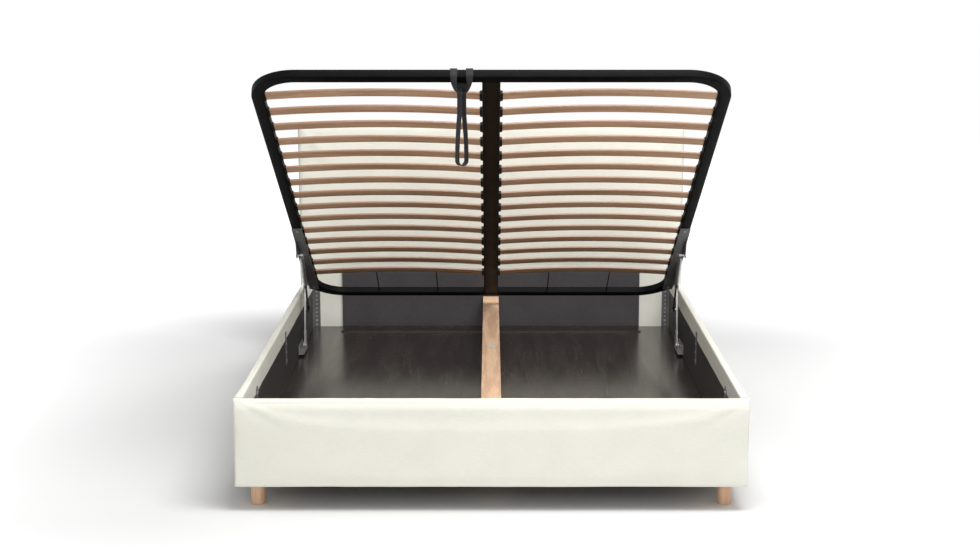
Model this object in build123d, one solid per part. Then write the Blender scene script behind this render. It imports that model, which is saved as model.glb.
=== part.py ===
from build123d import *
import os
from math import atan2, cos, degrees, hypot, radians, sin

# Upholstered storage bed with a slatted base that lifts on a linkage, shown raised.
# Millimetres. X is across the bed, +Y runs from the foot end to the headboard, +Z is up.
# The origin is on the floor, under the middle of the whole bed.

os.makedirs("parts", exist_ok=True)

# Whole base
base_width = 1600
base_length = 2064
leg_height = 80
rail_height = 283

# Upholstered boards
board_thickness = 18
foam_outside = 8
foam_top = 8
foam_inside = 3
hem = 2
crown = 3
top_round = 9
inner_round = 4
hem_round = 5
inner_band = 68

# Headboard
headboard_width = 1656
headboard_height = 930
headboard_thickness = 90
headboard_foam = 22
headboard_front_board = 12
headboard_timber = 44
headboard_post_width = 90
headboard_back_board = 4
headboard_round = 20
headboard_crown = 5
rear_panel_side_gap = 128.5
rear_panel_height = 255
rear_panel_thickness = 12

# Storage box
floor_thickness = 6
floor_height = 130
lining_thickness = 3
cleat_width = 30
bearer_width = 60
cross_bearer_width = 40
cross_bearer_count = 3
block_length = 130
rear_batten_depth = 98
rear_batten_height = 5
fit_gap = 0.3

# Legs
leg_diameter = 45
leg_chamfer = 2
leg_from_side = 61
leg_from_front = 90
leg_bolt_diameter = 8
leg_bolt_reach = 30
centre_foot_diameter = 50
centre_foot_count = 2

# Rail along the middle of the box
centre_rail_width = 66
centre_rail_depth = 40
centre_rail_gap = 12
rear_seat_depth = 52
front_seat_depth = 40
front_seat_width = 90
centre_post_width = 60
centre_post_from_front = 1110
pad_width = 33
pad_length = 55
pad_height = 5

# Steel fittings inside the box
post_flange = 30
post_thickness = 2
post_hole_diameter = 6
post_hole_pitch = 18
post_hole_count = 11
corner_bracket_leg = 60
corner_bracket_height = 110
corner_bracket_thickness = 3
bolt_diameter = 6
bolt_head_diameter = 11
bolt_head_height = 3
bolt_grip = 12
rest_hook_from_front = 330
rest_hook_length = 40
rest_hook_height = 52
rest_hook_thickness = 3
rest_hook_ledge = 27
mid_strip_from_front = 1100
mid_strip_width = 25
mid_strip_height = 125
mid_strip_top = 325
mid_strip_thickness = 3
screw_diameter = 4
screw_head_diameter = 9
screw_head_height = 1.5
screw_grip = 8

# Slatted base
frame_side_gap = 18
frame_front_gap = 16
frame_rear_gap = 19
tube_width = 38
tube_depth = 27
tube_wall = 1.5
corner_radius = 150
tube_straight_end = 60
sleeve_length = 80
sleeve_gap = 0.2
sleeve_wall = 2
frame_tilt = 31.10
frame_closed_height = 270
centre_beam_width = 57
centre_beam_wall = 1.5
slat_count = 15
slat_width = 43
slat_thickness = 8
slat_bow = 12.5
first_slat_from_foot = 157
last_slat_from_rear = 248
slat_end_gap = 1
cap_length = 8
outer_cap_length = 4
cap_wall = 3
cap_raise = 8
stay_diameter = 4
stay_offsets = [484, 236, -223, -468]

# Lift linkage, with its places taken from the headboard's face and the floor
front_pivot_from_head = 537.9
front_pivot_height = 171.5
rear_pivot_from_head = 456.8
rear_pivot_height = 204.2
front_link_length = 224.8
rear_link_length = 187.44
front_link_lean = 78.60
rear_link_lean = 85.63
front_pivot_below_frame = 78.5
front_pivot_from_rear = 295.0
plate_thickness = 3
link_thickness = 4
link_width = 18
link_gap = 0.5
plate_inset = 1.5
pivot_pin_diameter = 10
pivot_head_diameter = 17
pivot_head_height = 2.5
running_gap = 0.05
lobe_radius = 13
open_pivot_play = 4.0
open_pin_diameter = 8
open_head_diameter = 24
flange_start = 90
flange_end = 760
bracket_foot = 14
bracket_flange_height = 34
bracket_bottom = 143

# Gas struts
strut_diameter = 16
strut_wall = 1.5
strut_rod_diameter = 7
strut_end_length = 18
strut_eye_thickness = 8
strut_neck_diameter = 6.5
strut_pin_diameter = 7
strut_body_length = 160
strut_tail = 16
strut_pivot_from_rear = 574
strut_pivot_below_frame = 37
strut_stud_below_link_top = 80
stud_head_diameter = 14
stud_head_height = 2

# Pull strap on the foot tube
strap_width = 22
strap_thickness = 2.4
strap_band_offsets = [115.5, 70.6]
strap_gap = 0.4
knot_width = 30
knot_depth = 14
knot_height = 42
strap_loop_length = 214
strap_loop_half_width = 18
strap_twist = 35
strap_offset = 91

# Worked out from the sizes above
overall_length = base_length + headboard_thickness
front = -overall_length / 2
headboard_face = front + base_length
rail_top = leg_height + rail_height
rail_thickness = foam_outside + board_thickness + foam_inside
inner_x = base_width / 2 - rail_thickness
board_inner_x = base_width / 2 - foam_outside - board_thickness
front_inner = front + rail_thickness
front_board_inner = front + foam_outside + board_thickness
floor_under = floor_height - floor_thickness
band_low = rail_top - inner_band
centre_rail_top = frame_closed_height - pad_height
rear_panel_width = 2 * (inner_x - rear_panel_side_gap)
frame_width = 2 * (inner_x - frame_side_gap)
frame_length = base_length - rail_thickness - frame_front_gap - frame_rear_gap
slat_pitch = (frame_length - last_slat_from_rear - first_slat_from_foot) / (slat_count - 1)

nodes = {}


def keep(name, *solids):
    """Files one sub-part under its name, as separate solids."""
    loose = []
    for item in solids:
        loose.extend(item.solids())
    nodes[name] = loose


def block(x0, x1, y0, y1, z0, z1):
    """A box between two corners."""
    centre = Pos((x0 + x1) / 2, (y0 + y1) / 2, (z0 + z1) / 2)
    return centre * Box(abs(x1 - x0), abs(y1 - y0), abs(z1 - z0))


def mirrored(shape):
    """The same shape on the other side of the bed."""
    return mirror(shape, Plane.YZ)


def rod_x(x0, x1, y, z, diameter):
    """A round bar across the bed."""
    turned = Pos((x0 + x1) / 2, y, z) * Rot(0, 90, 0)
    return turned * Cylinder(diameter / 2, abs(x1 - x0))


def rod_y(x, y0, y1, z, diameter):
    """A round bar along the bed."""
    turned = Pos(x, (y0 + y1) / 2, z) * Rot(90, 0, 0)
    return turned * Cylinder(diameter / 2, abs(y1 - y0))


def rod_z(x, y, z0, z1, diameter):
    """An upright round bar."""
    return Pos(x, y, (z0 + z1) / 2) * Cylinder(diameter / 2, abs(z1 - z0))


def plate_yz(points, x0, x1):
    """A flat plate that lies along the bed, from its outline."""
    outline = Plane.YZ * make_face(Polyline(*points, close=True))
    return Pos(min(x0, x1), 0, 0) * extrude(outline, amount=abs(x1 - x0))


def bar_yz(start, end, width, x0, x1):
    """A flat bar with round ends between two pivots."""
    (y0, z0), (y1, z1) = start, end
    length = hypot(y1 - y0, z1 - z0)
    middle = Pos((x0 + x1) / 2, (y0 + y1) / 2, (z0 + z1) / 2)
    turn = Rot(degrees(atan2(z1 - z0, y1 - y0)), 0, 0)
    bar = middle * turn * Box(abs(x1 - x0), length, width)
    return bar + rod_x(x0, x1, y0, z0, width) + rod_x(x0, x1, y1, z1, width)


def padded_section():
    """Outline of a padded board: its crowned face is at 0, its inner face at the full thickness."""
    low = leg_height
    face_low = (crown, low + hem_round)
    face_middle = (0, (low + rail_top) / 2)
    face_high = (crown, rail_top - top_round)
    inner_high = (rail_thickness, rail_top - inner_round)
    lines = [
        ThreePointArc(face_low, face_middle, face_high),
        CenterArc((crown + top_round, rail_top - top_round), top_round, 90, 90),
        Line((crown + top_round, rail_top), (rail_thickness - inner_round, rail_top)),
        CenterArc((rail_thickness - inner_round, rail_top - inner_round), inner_round, 0, 90),
        Line(inner_high, (rail_thickness, low)),
        Line((rail_thickness, low), (crown + hem_round, low)),
        CenterArc((crown + hem_round, low + hem_round), hem_round, 180, 90),
    ]
    return make_face(lines)


def front_panel():
    """Board and padded cover across the foot end."""
    half = base_width / 2
    form = Pos(-half, front, 0) * extrude(Plane.YZ * padded_section(), amount=base_width)
    ends = form.faces().filter_by(Axis.X)
    form = fillet(ends.edges().filter_by(lambda e: e.center().Y < front + crown * 2), crown)
    wood_x = half - foam_outside
    wood = block(-wood_x, wood_x, front + foam_outside, front_board_inner, leg_height + hem, rail_top - foam_top)
    step = block(-board_inner_x, board_inner_x, front_board_inner, front_inner, 0, band_low)
    keep("front_panel_board", wood)
    keep("front_panel_cover", form - wood - step)


def side_rail(name, side):
    """Board and padded cover along one side."""
    half = base_width / 2
    length = headboard_face - front_inner
    section = Plane.XZ * padded_section()
    form = Pos(-half, front_inner, 0) * extrude(section, amount=-length)
    wood = block(-half + foam_outside, -board_inner_x, front_inner, headboard_face,
                 leg_height + hem, rail_top - foam_top)
    step = block(-board_inner_x, -inner_x, front_inner, headboard_face, 0, band_low)
    cover = form - wood - step
    if side > 0:
        wood = mirrored(wood)
        cover = mirrored(cover)
    keep(name + "_rail_board", wood)
    keep(name + "_rail_cover", cover)


def inside_of(half):
    """A place just inside an end of the headboard, to pick its end edges by."""
    return half - headboard_round


def headboard():
    """Timber frame, front board, padded cover and thin back."""
    half = headboard_width / 2
    low = leg_height
    high = leg_height + headboard_height
    back = headboard_face + headboard_thickness
    face = headboard_face + headboard_crown
    shoulder = high - headboard_round
    lines = [
        Line((back, low), (face, low)),
        ThreePointArc((face, low), (headboard_face, (low + high) / 2), (face, shoulder)),
        CenterArc((face + headboard_round, shoulder), headboard_round, 90, 90),
        Line((face + headboard_round, high), (back, high)),
        Line((back, high), (back, low)),
    ]
    form = Pos(-half, 0, 0) * extrude(Plane.YZ * make_face(lines), amount=headboard_width)
    tall = form.edges().filter_by(lambda e: e.length > headboard_height / 2 and e.center().Y < face)
    form = fillet(tall.filter_by(lambda e: abs(e.center().X) > inside_of(half)), headboard_round)
    board_front = headboard_face + headboard_foam
    board_back = board_front + headboard_front_board
    timber_back = board_back + headboard_timber
    edge = headboard_back_board * 2
    board = block(-half + edge, half - edge, board_front, board_back, low + hem, high - edge)
    pocket = block(-half + edge, half - edge, board_front, back, low + hem, high - edge)
    wide = headboard_post_width
    posts = []
    for side in (-1, 1):
        outer = side * (half - edge)
        posts.append(block(outer, outer - side * wide, board_back, timber_back, low + hem, high - edge))
    inside = half - edge - wide
    rungs = []
    for z in (low + hem, (low + high - wide) / 2, high - edge - wide):
        rungs.append(block(-inside, inside, board_back, timber_back, z, z + wide))
    keep("headboard_frame", *posts, *rungs)
    keep("headboard_board", board)
    keep("headboard_cover", form - pocket)
    keep("headboard_back", block(-half + edge, half - edge, timber_back, timber_back + headboard_back_board,
                                 low + hem, high - edge))


def rear_panel():
    """Dark cross panel that closes the box under the headboard."""
    half = rear_panel_width / 2
    panel_front = headboard_face - rear_panel_thickness
    keep("rear_panel", block(-half, half, panel_front, headboard_face, floor_height,
                             floor_height + rear_panel_height))


def box_floor():
    """Two floor boards on cleats, bearers and corner blocks."""
    edge = board_inner_x - fit_gap
    y0 = front_board_inner + fit_gap
    y1 = headboard_face - fit_gap
    for name, side in (("left", -1), ("right", 1)):
        keep(name + "_floor_board", block(side * edge, side * fit_gap, y0, y1, floor_under, floor_height))
    blocks = []
    for side in (-1, 1):
        for start, step in ((front_board_inner, block_length), (headboard_face, -block_length)):
            blocks.append(block(side * board_inner_x, side * (board_inner_x - block_length),
                                start, start + step, leg_height, floor_under))
    keep("corner_blocks", *blocks)
    inner_edge = board_inner_x - block_length
    side_y0 = front_board_inner + block_length
    side_y1 = headboard_face - block_length
    cleats = []
    for side in (-1, 1):
        cleats.append(block(side * board_inner_x, side * (board_inner_x - cleat_width),
                            side_y0, side_y1, leg_height, floor_under))
    cleats.append(block(-inner_edge, inner_edge, front_board_inner, front_board_inner + cleat_width,
                        leg_height, floor_under))
    cleats.append(block(-inner_edge, inner_edge, headboard_face - cleat_width, headboard_face,
                        leg_height, floor_under))
    panel_front = headboard_face - rear_panel_thickness
    half = rear_panel_width / 2
    cleats.append(block(-half, half, panel_front - rear_batten_depth, panel_front,
                        floor_height, floor_height + rear_batten_height))
    keep("floor_cleats", *cleats)
    half_bearer = bearer_width / 2
    long_y0 = front_board_inner + cleat_width
    long_y1 = headboard_face - cleat_width
    bearers = [block(-half_bearer, half_bearer, long_y0, long_y1, leg_height, floor_under)]
    for index in range(cross_bearer_count):
        share = (index + 1) / (cross_bearer_count + 1)
        y = side_y0 + share * (side_y1 - side_y0)
        for side in (-1, 1):
            bearers.append(block(side * half_bearer, side * (board_inner_x - cleat_width),
                                 y - cross_bearer_width / 2, y + cross_bearer_width / 2, leg_height, floor_under))
    keep("floor_bearers", *bearers)


def linings():
    """Dark boards inside the box, under the cream band."""
    sides = []
    for side in (-1, 1):
        sides.append(block(side * board_inner_x, side * (board_inner_x - lining_thickness),
                           front_inner, headboard_face, floor_height, band_low))
    keep("side_linings", *sides)
    keep("front_lining", block(-board_inner_x, board_inner_x, front_board_inner, front_board_inner + lining_thickness,
                               floor_height, band_low))


def legs():
    """Four turned legs on hanger bolts, and the feet under the centre bearer."""
    x = base_width / 2 - leg_from_side
    front_y = front + leg_from_front
    rear_y = headboard_face - leg_from_front
    wooden = []
    bolts = []
    for side in (-1, 1):
        for y in (front_y, rear_y):
            leg = Pos(side * x, y, leg_height / 2) * Cylinder(leg_diameter / 2, leg_height)
            leg = chamfer(leg.faces().sort_by(Axis.Z)[0].edges(), leg_chamfer)
            hole = rod_z(side * x, y, leg_height - leg_bolt_reach, leg_height, leg_bolt_diameter)
            wooden.append(leg - hole)
            bolts.append(rod_z(side * x, y, leg_height - leg_bolt_reach, leg_height + leg_bolt_reach,
                               leg_bolt_diameter))
    keep("legs", *wooden)
    keep("leg_bolts", *bolts)
    nodes["corner_blocks"] = [drilled(item, bolts) for item in nodes["corner_blocks"]]
    feet = []
    span = headboard_face - front_inner
    for index in range(centre_foot_count):
        y = front_inner + span * (index + 1) / (centre_foot_count + 1)
        feet.append(rod_z(0, y, 0, leg_height, centre_foot_diameter))
    keep("centre_feet", *feet)


def drilled(item, bars):
    """A solid with the bores of the bars that run through it."""
    for bar in bars:
        item = item - bar
    return item.solids()[0]


def centre_rail():
    """Timber rail along the box, its two seats, its post and the buffer pad on it."""
    half = centre_rail_width / 2
    low = centre_rail_top - centre_rail_depth
    panel_front = headboard_face - rear_panel_thickness
    lining_face = front_board_inner + lining_thickness
    rail_y0 = lining_face + fit_gap
    rail_y1 = panel_front - rear_seat_depth
    keep("centre_rail", block(-half, half, rail_y0, rail_y1, low, centre_rail_top))
    wide = front_seat_width / 2
    front_seat = block(-wide, wide, lining_face, lining_face + front_seat_depth, floor_height, low)
    rear_seat = block(-half, half, rail_y1, panel_front, low, centre_rail_top)
    under = block(-half, half, rail_y1 - rear_seat_depth, panel_front, low - centre_rail_gap, low)
    keep("centre_rail_seats", front_seat, rear_seat + under)
    post_y = front + centre_post_from_front
    post = centre_post_width / 2
    keep("centre_post", block(-post, post, post_y - post, post_y + post, floor_height, low))
    pad_high = frame_closed_height - fit_gap
    keep("centre_pad", block(-pad_width / 2, pad_width / 2, post_y - pad_length / 2, post_y + pad_length / 2,
                             centre_rail_top, pad_high))


def screw_x(x, y, z, side, diameter, head_diameter, head_height, grip):
    """A screw driven outwards into a side rail, its head on the inner side at x."""
    head = rod_x(side * x, side * (x - head_height), y, z, head_diameter)
    return head + rod_x(side * x, side * (x + grip), y, z, diameter)


def screw_y(x, y, z, head_height, head_diameter, diameter, grip, way):
    """A screw driven along the bed, its head standing off the face at y."""
    head = rod_y(x, y, y - way * head_height, z, head_diameter)
    return head + rod_y(x, y, y + way * grip, z, diameter)


def bore_all(name, bars):
    """Takes the bores of the bars out of a sub-part."""
    nodes[name] = [drilled(item, bars) for item in nodes[name]]


def corner_posts():
    """Perforated steel angles in the rear corners, and brackets in the front corners, with their bolts."""
    low = floor_height + fit_gap
    high = low + post_hole_pitch * post_hole_count
    posts = []
    bolts = []
    for side in (-1, 1):
        across = block(side * inner_x, side * (inner_x - post_flange), headboard_face - post_thickness,
                       headboard_face, low, high)
        along = block(side * inner_x, side * (inner_x - post_thickness), headboard_face - post_flange,
                      headboard_face, low, high)
        post = across + along
        hole_x = side * (inner_x - post_flange / 2)
        hole_y = headboard_face - post_flange / 2
        for index in range(post_hole_count):
            z = low + post_hole_pitch * (index + 1 / 2)
            post = post - rod_y(hole_x, headboard_face - post_flange / 2, headboard_face, z, post_hole_diameter)
            post = post - rod_x(side * inner_x, side * (inner_x - post_flange / 2), hole_y, z, post_hole_diameter)
            if index in (1, post_hole_count - 2):
                bolts.append(screw_y(hole_x, headboard_face - post_thickness, z, bolt_head_height,
                                     bolt_head_diameter, bolt_diameter, bolt_grip, 1))
        posts.append(post)
    keep("corner_posts", *posts)
    brackets = []
    leg = corner_bracket_leg
    thick = corner_bracket_thickness
    low = floor_height + fit_gap
    high = low + corner_bracket_height
    lining_face = front_board_inner + lining_thickness
    for side in (-1, 1):
        across = block(side * inner_x, side * (inner_x - leg), lining_face, lining_face + thick, low, high)
        along = block(side * inner_x, side * (inner_x - thick), lining_face, lining_face + leg, low, high)
        bracket = across + along
        for share in (1 / 5, 4 / 5):
            z = low + share * corner_bracket_height
            bolts.append(screw_x(inner_x - thick, lining_face + leg * 2 / 3, z, side, bolt_diameter,
                                 bolt_head_diameter, bolt_head_height, bolt_grip))
            bolts.append(screw_y(side * (inner_x - leg * 2 / 3), lining_face + thick, z, bolt_head_height,
                                 bolt_head_diameter, bolt_diameter, bolt_grip, -1))
        brackets.append(bracket)
    keep("front_corner_brackets", *[drilled(item, bolts) for item in brackets])
    keep("corner_bolts", *bolts)
    rear_bolts = bolts[:4]
    front_bolts = bolts[4:]
    bore_all("headboard_cover", rear_bolts)
    for name in ("front_lining", "side_linings", "front_panel_board", "left_rail_board", "right_rail_board"):
        bore_all(name, front_bolts)


def rest_hook(side):
    """Arched plate on the rail with a ledge that the closed frame lands on."""
    y = front + rest_hook_from_front
    half = rest_hook_length / 2
    ledge_top = frame_closed_height - fit_gap
    ledge_low = ledge_top - rest_hook_thickness
    high = ledge_low + rest_hook_height
    outline = Plane.YZ * make_face([
        Line((y - half, ledge_low), (y + half, ledge_low)),
        Line((y + half, ledge_low), (y + half, high - half)),
        CenterArc((y, high - half), half, 0, 180),
        Line((y - half, high - half), (y - half, ledge_low)),
    ])
    x = inner_x - rest_hook_thickness
    plate = Pos(x, 0, 0) * extrude(outline, amount=rest_hook_thickness)
    plate = plate + block(x, inner_x - rest_hook_ledge, y - half, y + half, ledge_low, ledge_top)
    return plate if side > 0 else mirrored(plate)


def side_fittings():
    """Rest hooks and middle strips on the rails, with the screws that hold them."""
    hooks = []
    strips = []
    screws = []
    hook_y = front + rest_hook_from_front
    hook_z = frame_closed_height + rest_hook_height / 2
    strip_y = front + mid_strip_from_front
    for side in (-1, 1):
        hooks.append(rest_hook(side))
        for share in (-1 / 4, 1 / 4):
            screws.append(screw_x(inner_x - rest_hook_thickness, hook_y + share * rest_hook_length, hook_z, side,
                                  screw_diameter, screw_head_diameter, screw_head_height, screw_grip))
        strips.append(block(side * inner_x, side * (inner_x - mid_strip_thickness),
                            strip_y - mid_strip_width / 2, strip_y + mid_strip_width / 2,
                            mid_strip_top - mid_strip_height, mid_strip_top))
        for share in (1 / 8, 3 / 8, 5 / 8, 7 / 8):
            z = mid_strip_top - share * mid_strip_height
            screws.append(screw_x(inner_x - mid_strip_thickness, strip_y, z, side, screw_diameter,
                                  screw_head_diameter, screw_head_height, screw_grip))
    keep("rest_hooks", *[drilled(item, screws) for item in hooks])
    keep("mid_strips", *[drilled(item, screws) for item in strips])
    return screws


class Link:
    """Places of the lift linkage at rest, with the base raised: each is (y, z)."""
    front_low = (headboard_face - front_pivot_from_head, front_pivot_height)
    rear_low = (headboard_face - rear_pivot_from_head, rear_pivot_height)
    lean = radians(front_link_lean)
    rear_lean = radians(rear_link_lean)
    front_top = (front_low[0] + front_link_length * cos(lean), front_low[1] + front_link_length * sin(lean))
    rear_top = (rear_low[0] + rear_link_length * cos(rear_lean), rear_low[1] + rear_link_length * sin(rear_lean))
    tilt = radians(frame_tilt)


# Planes of the linkage, as distances from the middle of the bed
plate_out = frame_width / 2
plate_in = plate_out - plate_thickness
front_link_out = plate_in - link_gap
front_link_in = front_link_out - link_thickness
rear_link_in = plate_out + link_gap
rear_link_out = rear_link_in + link_thickness
strut_out = front_link_in - pivot_head_height - link_gap * 2
strut_x = strut_out - strut_diameter / 2


def frame_point(from_rear, above):
    """A point of the raised slatted base: its distance from the rear edge, and its height over the underside."""
    y = Link.front_top[0] + front_pivot_from_rear * cos(Link.tilt) + front_pivot_below_frame * sin(Link.tilt)
    z = Link.front_top[1] - front_pivot_from_rear * sin(Link.tilt) + front_pivot_below_frame * cos(Link.tilt)
    y = y - from_rear * cos(Link.tilt) + above * sin(Link.tilt)
    z = z + from_rear * sin(Link.tilt) + above * cos(Link.tilt)
    return (y, z)


def on_frame(shape):
    """Moves a shape from the flat frame (rear edge at y = 0, underside at z = 0) to its raised place."""
    y, z = frame_point(0, 0)
    return Pos(0, y, z) * Rot(-frame_tilt, 0, 0) * shape


def tube_ring(outer, width, depth, wall):
    """Closed tube loop of the frame, before it is cut into lengths."""
    half_x = frame_width / 2 - outer
    length = frame_length - 2 * outer
    radius = corner_radius - outer
    centre = Pos(0, -frame_length / 2, 0)
    big = centre * extrude(RectangleRounded(half_x * 2, length, radius), amount=depth)
    small = centre * extrude(RectangleRounded((half_x - width) * 2, length - 2 * width, radius - width),
                             amount=depth)
    return Pos(0, 0, wall) * (big - small)


def frame_tubes():
    """The rounded frame: a foot bend, a head bend and two side tubes on inner sleeves."""
    ring = tube_ring(0, tube_width, tube_depth, 0)
    ring = ring - tube_ring(tube_wall, tube_width - 2 * tube_wall, tube_depth - 2 * tube_wall, tube_wall)
    bend = corner_radius + tube_straight_end
    foot = ring & block(-frame_width, frame_width, -frame_length, bend - frame_length, 0, tube_depth)
    head = ring & block(-frame_width, frame_width, -bend, 0, 0, tube_depth)
    sides = ring & block(-frame_width, frame_width, bend - frame_length, -bend, 0, tube_depth)
    keep("foot_tube", on_frame(foot))
    keep("head_tube", on_frame(head))
    keep("side_tubes", on_frame(sides))
    inset = tube_wall + sleeve_gap
    half = frame_width / 2
    sleeves = []
    for side in (-1, 1):
        for y in (bend - frame_length, -bend):
            y0 = y - sleeve_length / 2
            y1 = y + sleeve_length / 2
            outer_x = side * (half - inset)
            inner = side * (half - tube_width + inset)
            solid = block(outer_x, inner, y0, y1, inset, tube_depth - inset)
            bore = block(outer_x - side * sleeve_wall, inner + side * sleeve_wall, y0, y1,
                         inset + sleeve_wall, tube_depth - inset - sleeve_wall)
            sleeves.append(on_frame(solid - bore))
    keep("tube_sleeves", *sleeves)


def centre_beam():
    """Flat tube down the middle of the frame."""
    half = centre_beam_width / 2
    wall = centre_beam_wall
    y0 = tube_width - frame_length
    y1 = -tube_width
    beam = block(-half, half, y0, y1, 0, tube_depth)
    beam = beam - block(-half + wall, half - wall, y0, y1, wall, tube_depth - wall)
    keep("centre_beam", on_frame(beam))


def tube_inner_at(y):
    """Half the clear width between the tubes, at one place along the frame."""
    straight = frame_width / 2 - tube_width
    into_bend = -y - (frame_length - corner_radius)
    if into_bend <= 0:
        return straight
    inner_radius = corner_radius - tube_width
    return straight - inner_radius + (inner_radius ** 2 - into_bend ** 2) ** (1 / 2)


def slat_form(x0, x1, y):
    """One bowed slat between two ends, before it is set on the frame."""
    low = cap_raise + cap_wall
    middle = (x0 + x1) / 2
    under = ThreePointArc((x0, low), (middle, low + slat_bow), (x1, low))
    over = ThreePointArc((x0, low + slat_thickness), (middle, low + slat_bow + slat_thickness),
                         (x1, low + slat_thickness))
    ends = [Line((x0, low), (x0, low + slat_thickness)), Line((x1, low), (x1, low + slat_thickness))]
    face = Plane.XZ * make_face([under, over] + ends)
    return Pos(0, y - slat_width / 2, 0) * extrude(face, amount=-slat_width)


def cap_form(x_wall, x_face, y):
    """One slat socket, from the tube wall that it stands on to its face."""
    wide = slat_width / 2 + cap_wall
    return block(x_wall, x_face, y - wide, y + wide, cap_raise, cap_raise + slat_thickness + 2 * cap_wall)


def slats():
    """Fifteen bowed slats in each half, held in sockets on the side tubes and the centre beam."""
    tube_inner = frame_width / 2 - tube_width
    beam_side = centre_beam_width / 2
    socket_half = slat_width / 2 + cap_wall
    ring = tube_ring(0, tube_width, tube_depth, 0)
    caps = []
    for name, side in (("left", -1), ("right", 1)):
        row = []
        x_in = side * (beam_side + slat_end_gap)
        for index in range(slat_count):
            y = -(last_slat_from_rear + index * slat_pitch)
            reach = tube_inner_at(y - socket_half)
            x_out = side * (reach - slat_end_gap)
            slat = slat_form(min(x_out, x_in), max(x_out, x_in), y)
            row.append(on_frame(slat))
            outer_cap = cap_form(side * tube_inner, side * (reach - outer_cap_length), y) - slat
            if reach < tube_inner:
                outer_cap = outer_cap - ring
            inner_cap = cap_form(side * beam_side, side * (beam_side + cap_length), y) - slat
            caps.append(on_frame(outer_cap))
            caps.append(on_frame(inner_cap))
        keep(name + "_slats", *row)
    keep("slat_caps", *caps)


def stay_wires():
    """Four thin stays between the head tube and the last slat."""
    middle = (frame_width / 2 - tube_width + centre_beam_width / 2) / 2
    span = frame_width / 2 - tube_width - centre_beam_width / 2
    wires = []
    start_y = -tube_width - fit_gap
    end_y = -last_slat_from_rear + slat_width / 2 - stay_diameter
    for offset in stay_offsets:
        share = (abs(offset) - middle) / (span / 2)
        rise = slat_bow * (1 - share * share)
        start_z = tube_depth / 2
        end_z = cap_raise + cap_wall + rise - stay_diameter / 2 - fit_gap
        length = hypot(end_y - start_y, end_z - start_z)
        turn = degrees(atan2(end_z - start_z, start_y - end_y))
        wire = Pos(0, -length / 2, 0) * Rot(90, 0, 0) * Cylinder(stay_diameter / 2, length)
        wires.append(on_frame(Pos(offset, start_y, start_z) * Rot(-turn, 0, 0) * wire))
    keep("stay_wires", *wires)


def lift_plate(side, screws):
    """Angle plate under a side tube: flange on the tube, and a web that carries three pivots."""
    inner = frame_width / 2 - tube_width
    thick = plate_thickness
    flange = block(inner, plate_out - plate_inset, -flange_end, -flange_start, -thick, 0)
    front_y = -front_pivot_from_rear
    front_z = -front_pivot_below_frame
    rear_y, rear_z = flat_point(Link.rear_top)
    strut_y = -strut_pivot_from_rear
    strut_z = -strut_pivot_below_frame
    reach = lobe_radius
    shallow = -thick * 8
    points = [
        (-flange_end, 0), (-flange_end, -thick), (strut_y - reach * 4, -thick * 3),
        (strut_y - reach, strut_z), (strut_y, strut_z - reach), (strut_y + reach, strut_z),
        (strut_y + reach * 3, shallow), (front_y - reach * 7, shallow), (front_y - reach, front_z),
        (front_y, front_z - reach), (front_y + reach, front_z - reach / 2), (rear_y + reach, rear_z),
        (rear_y + reach * 5, -thick * 4), (-flange_start, -thick), (-flange_start, 0),
    ]
    web = plate_yz(points, plate_in, plate_out)
    web = web + rod_x(plate_in, plate_out, front_y, front_z, reach * 2)
    web = web + rod_x(plate_in, plate_out, rear_y, rear_z, reach * 2)
    web = web + rod_x(plate_in, plate_out, strut_y, strut_z, reach * 2)
    top = block(plate_in, plate_out, -frame_length, 0, 0, tube_depth)
    plate = flange + (web - top)
    bore = pivot_pin_diameter + 2 * running_gap
    plate = plate - rod_x(plate_in, plate_out, front_y, front_z, bore)
    plate = plate - rod_x(plate_in, plate_out, rear_y, rear_z, open_pin_diameter + 2 * open_pivot_play)
    plate = plate - rod_x(plate_in, plate_out, strut_y, strut_z, strut_pin_diameter + 2 * running_gap)
    for y in (-flange_end + reach * 2, -flange_start - reach * 2, strut_y + reach * 6):
        head = rod_z(inner + tube_width / 2, y, -thick - screw_head_height, -thick, screw_head_diameter)
        shank = rod_z(inner + tube_width / 2, y, -thick, tube_wall * 2, screw_diameter)
        screw = head + shank
        plate = plate - shank
        screws.append(on_frame(screw if side > 0 else mirrored(screw)))
    return on_frame(plate if side > 0 else mirrored(plate))


def flat_point(place):
    """Where a raised (y, z) place lies on the flat frame."""
    y0, z0 = frame_point(0, 0)
    dy = place[0] - y0
    dz = place[1] - z0
    along = dy * cos(Link.tilt) - dz * sin(Link.tilt)
    above = dy * sin(Link.tilt) + dz * cos(Link.tilt)
    return (along, above)


def pin(x_head, x_tail, place, diameter, head_diameter, head_height):
    """A pin across the bed with a head outside its first end; its other end is flush."""
    way = 1 if x_tail > x_head else -1
    shaft = rod_x(x_head, x_tail, place[0], place[1], diameter)
    return shaft + rod_x(x_head, x_head - way * head_height, place[0], place[1], head_diameter)


def rivet(x_head, x_tail, place, diameter, head_diameter, head_height):
    """A pin across the bed with a head outside each end."""
    first = pin(x_head, x_tail, place, diameter, head_diameter, head_height)
    return first + pin(x_tail, x_head, place, diameter, head_diameter, head_height)


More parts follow.
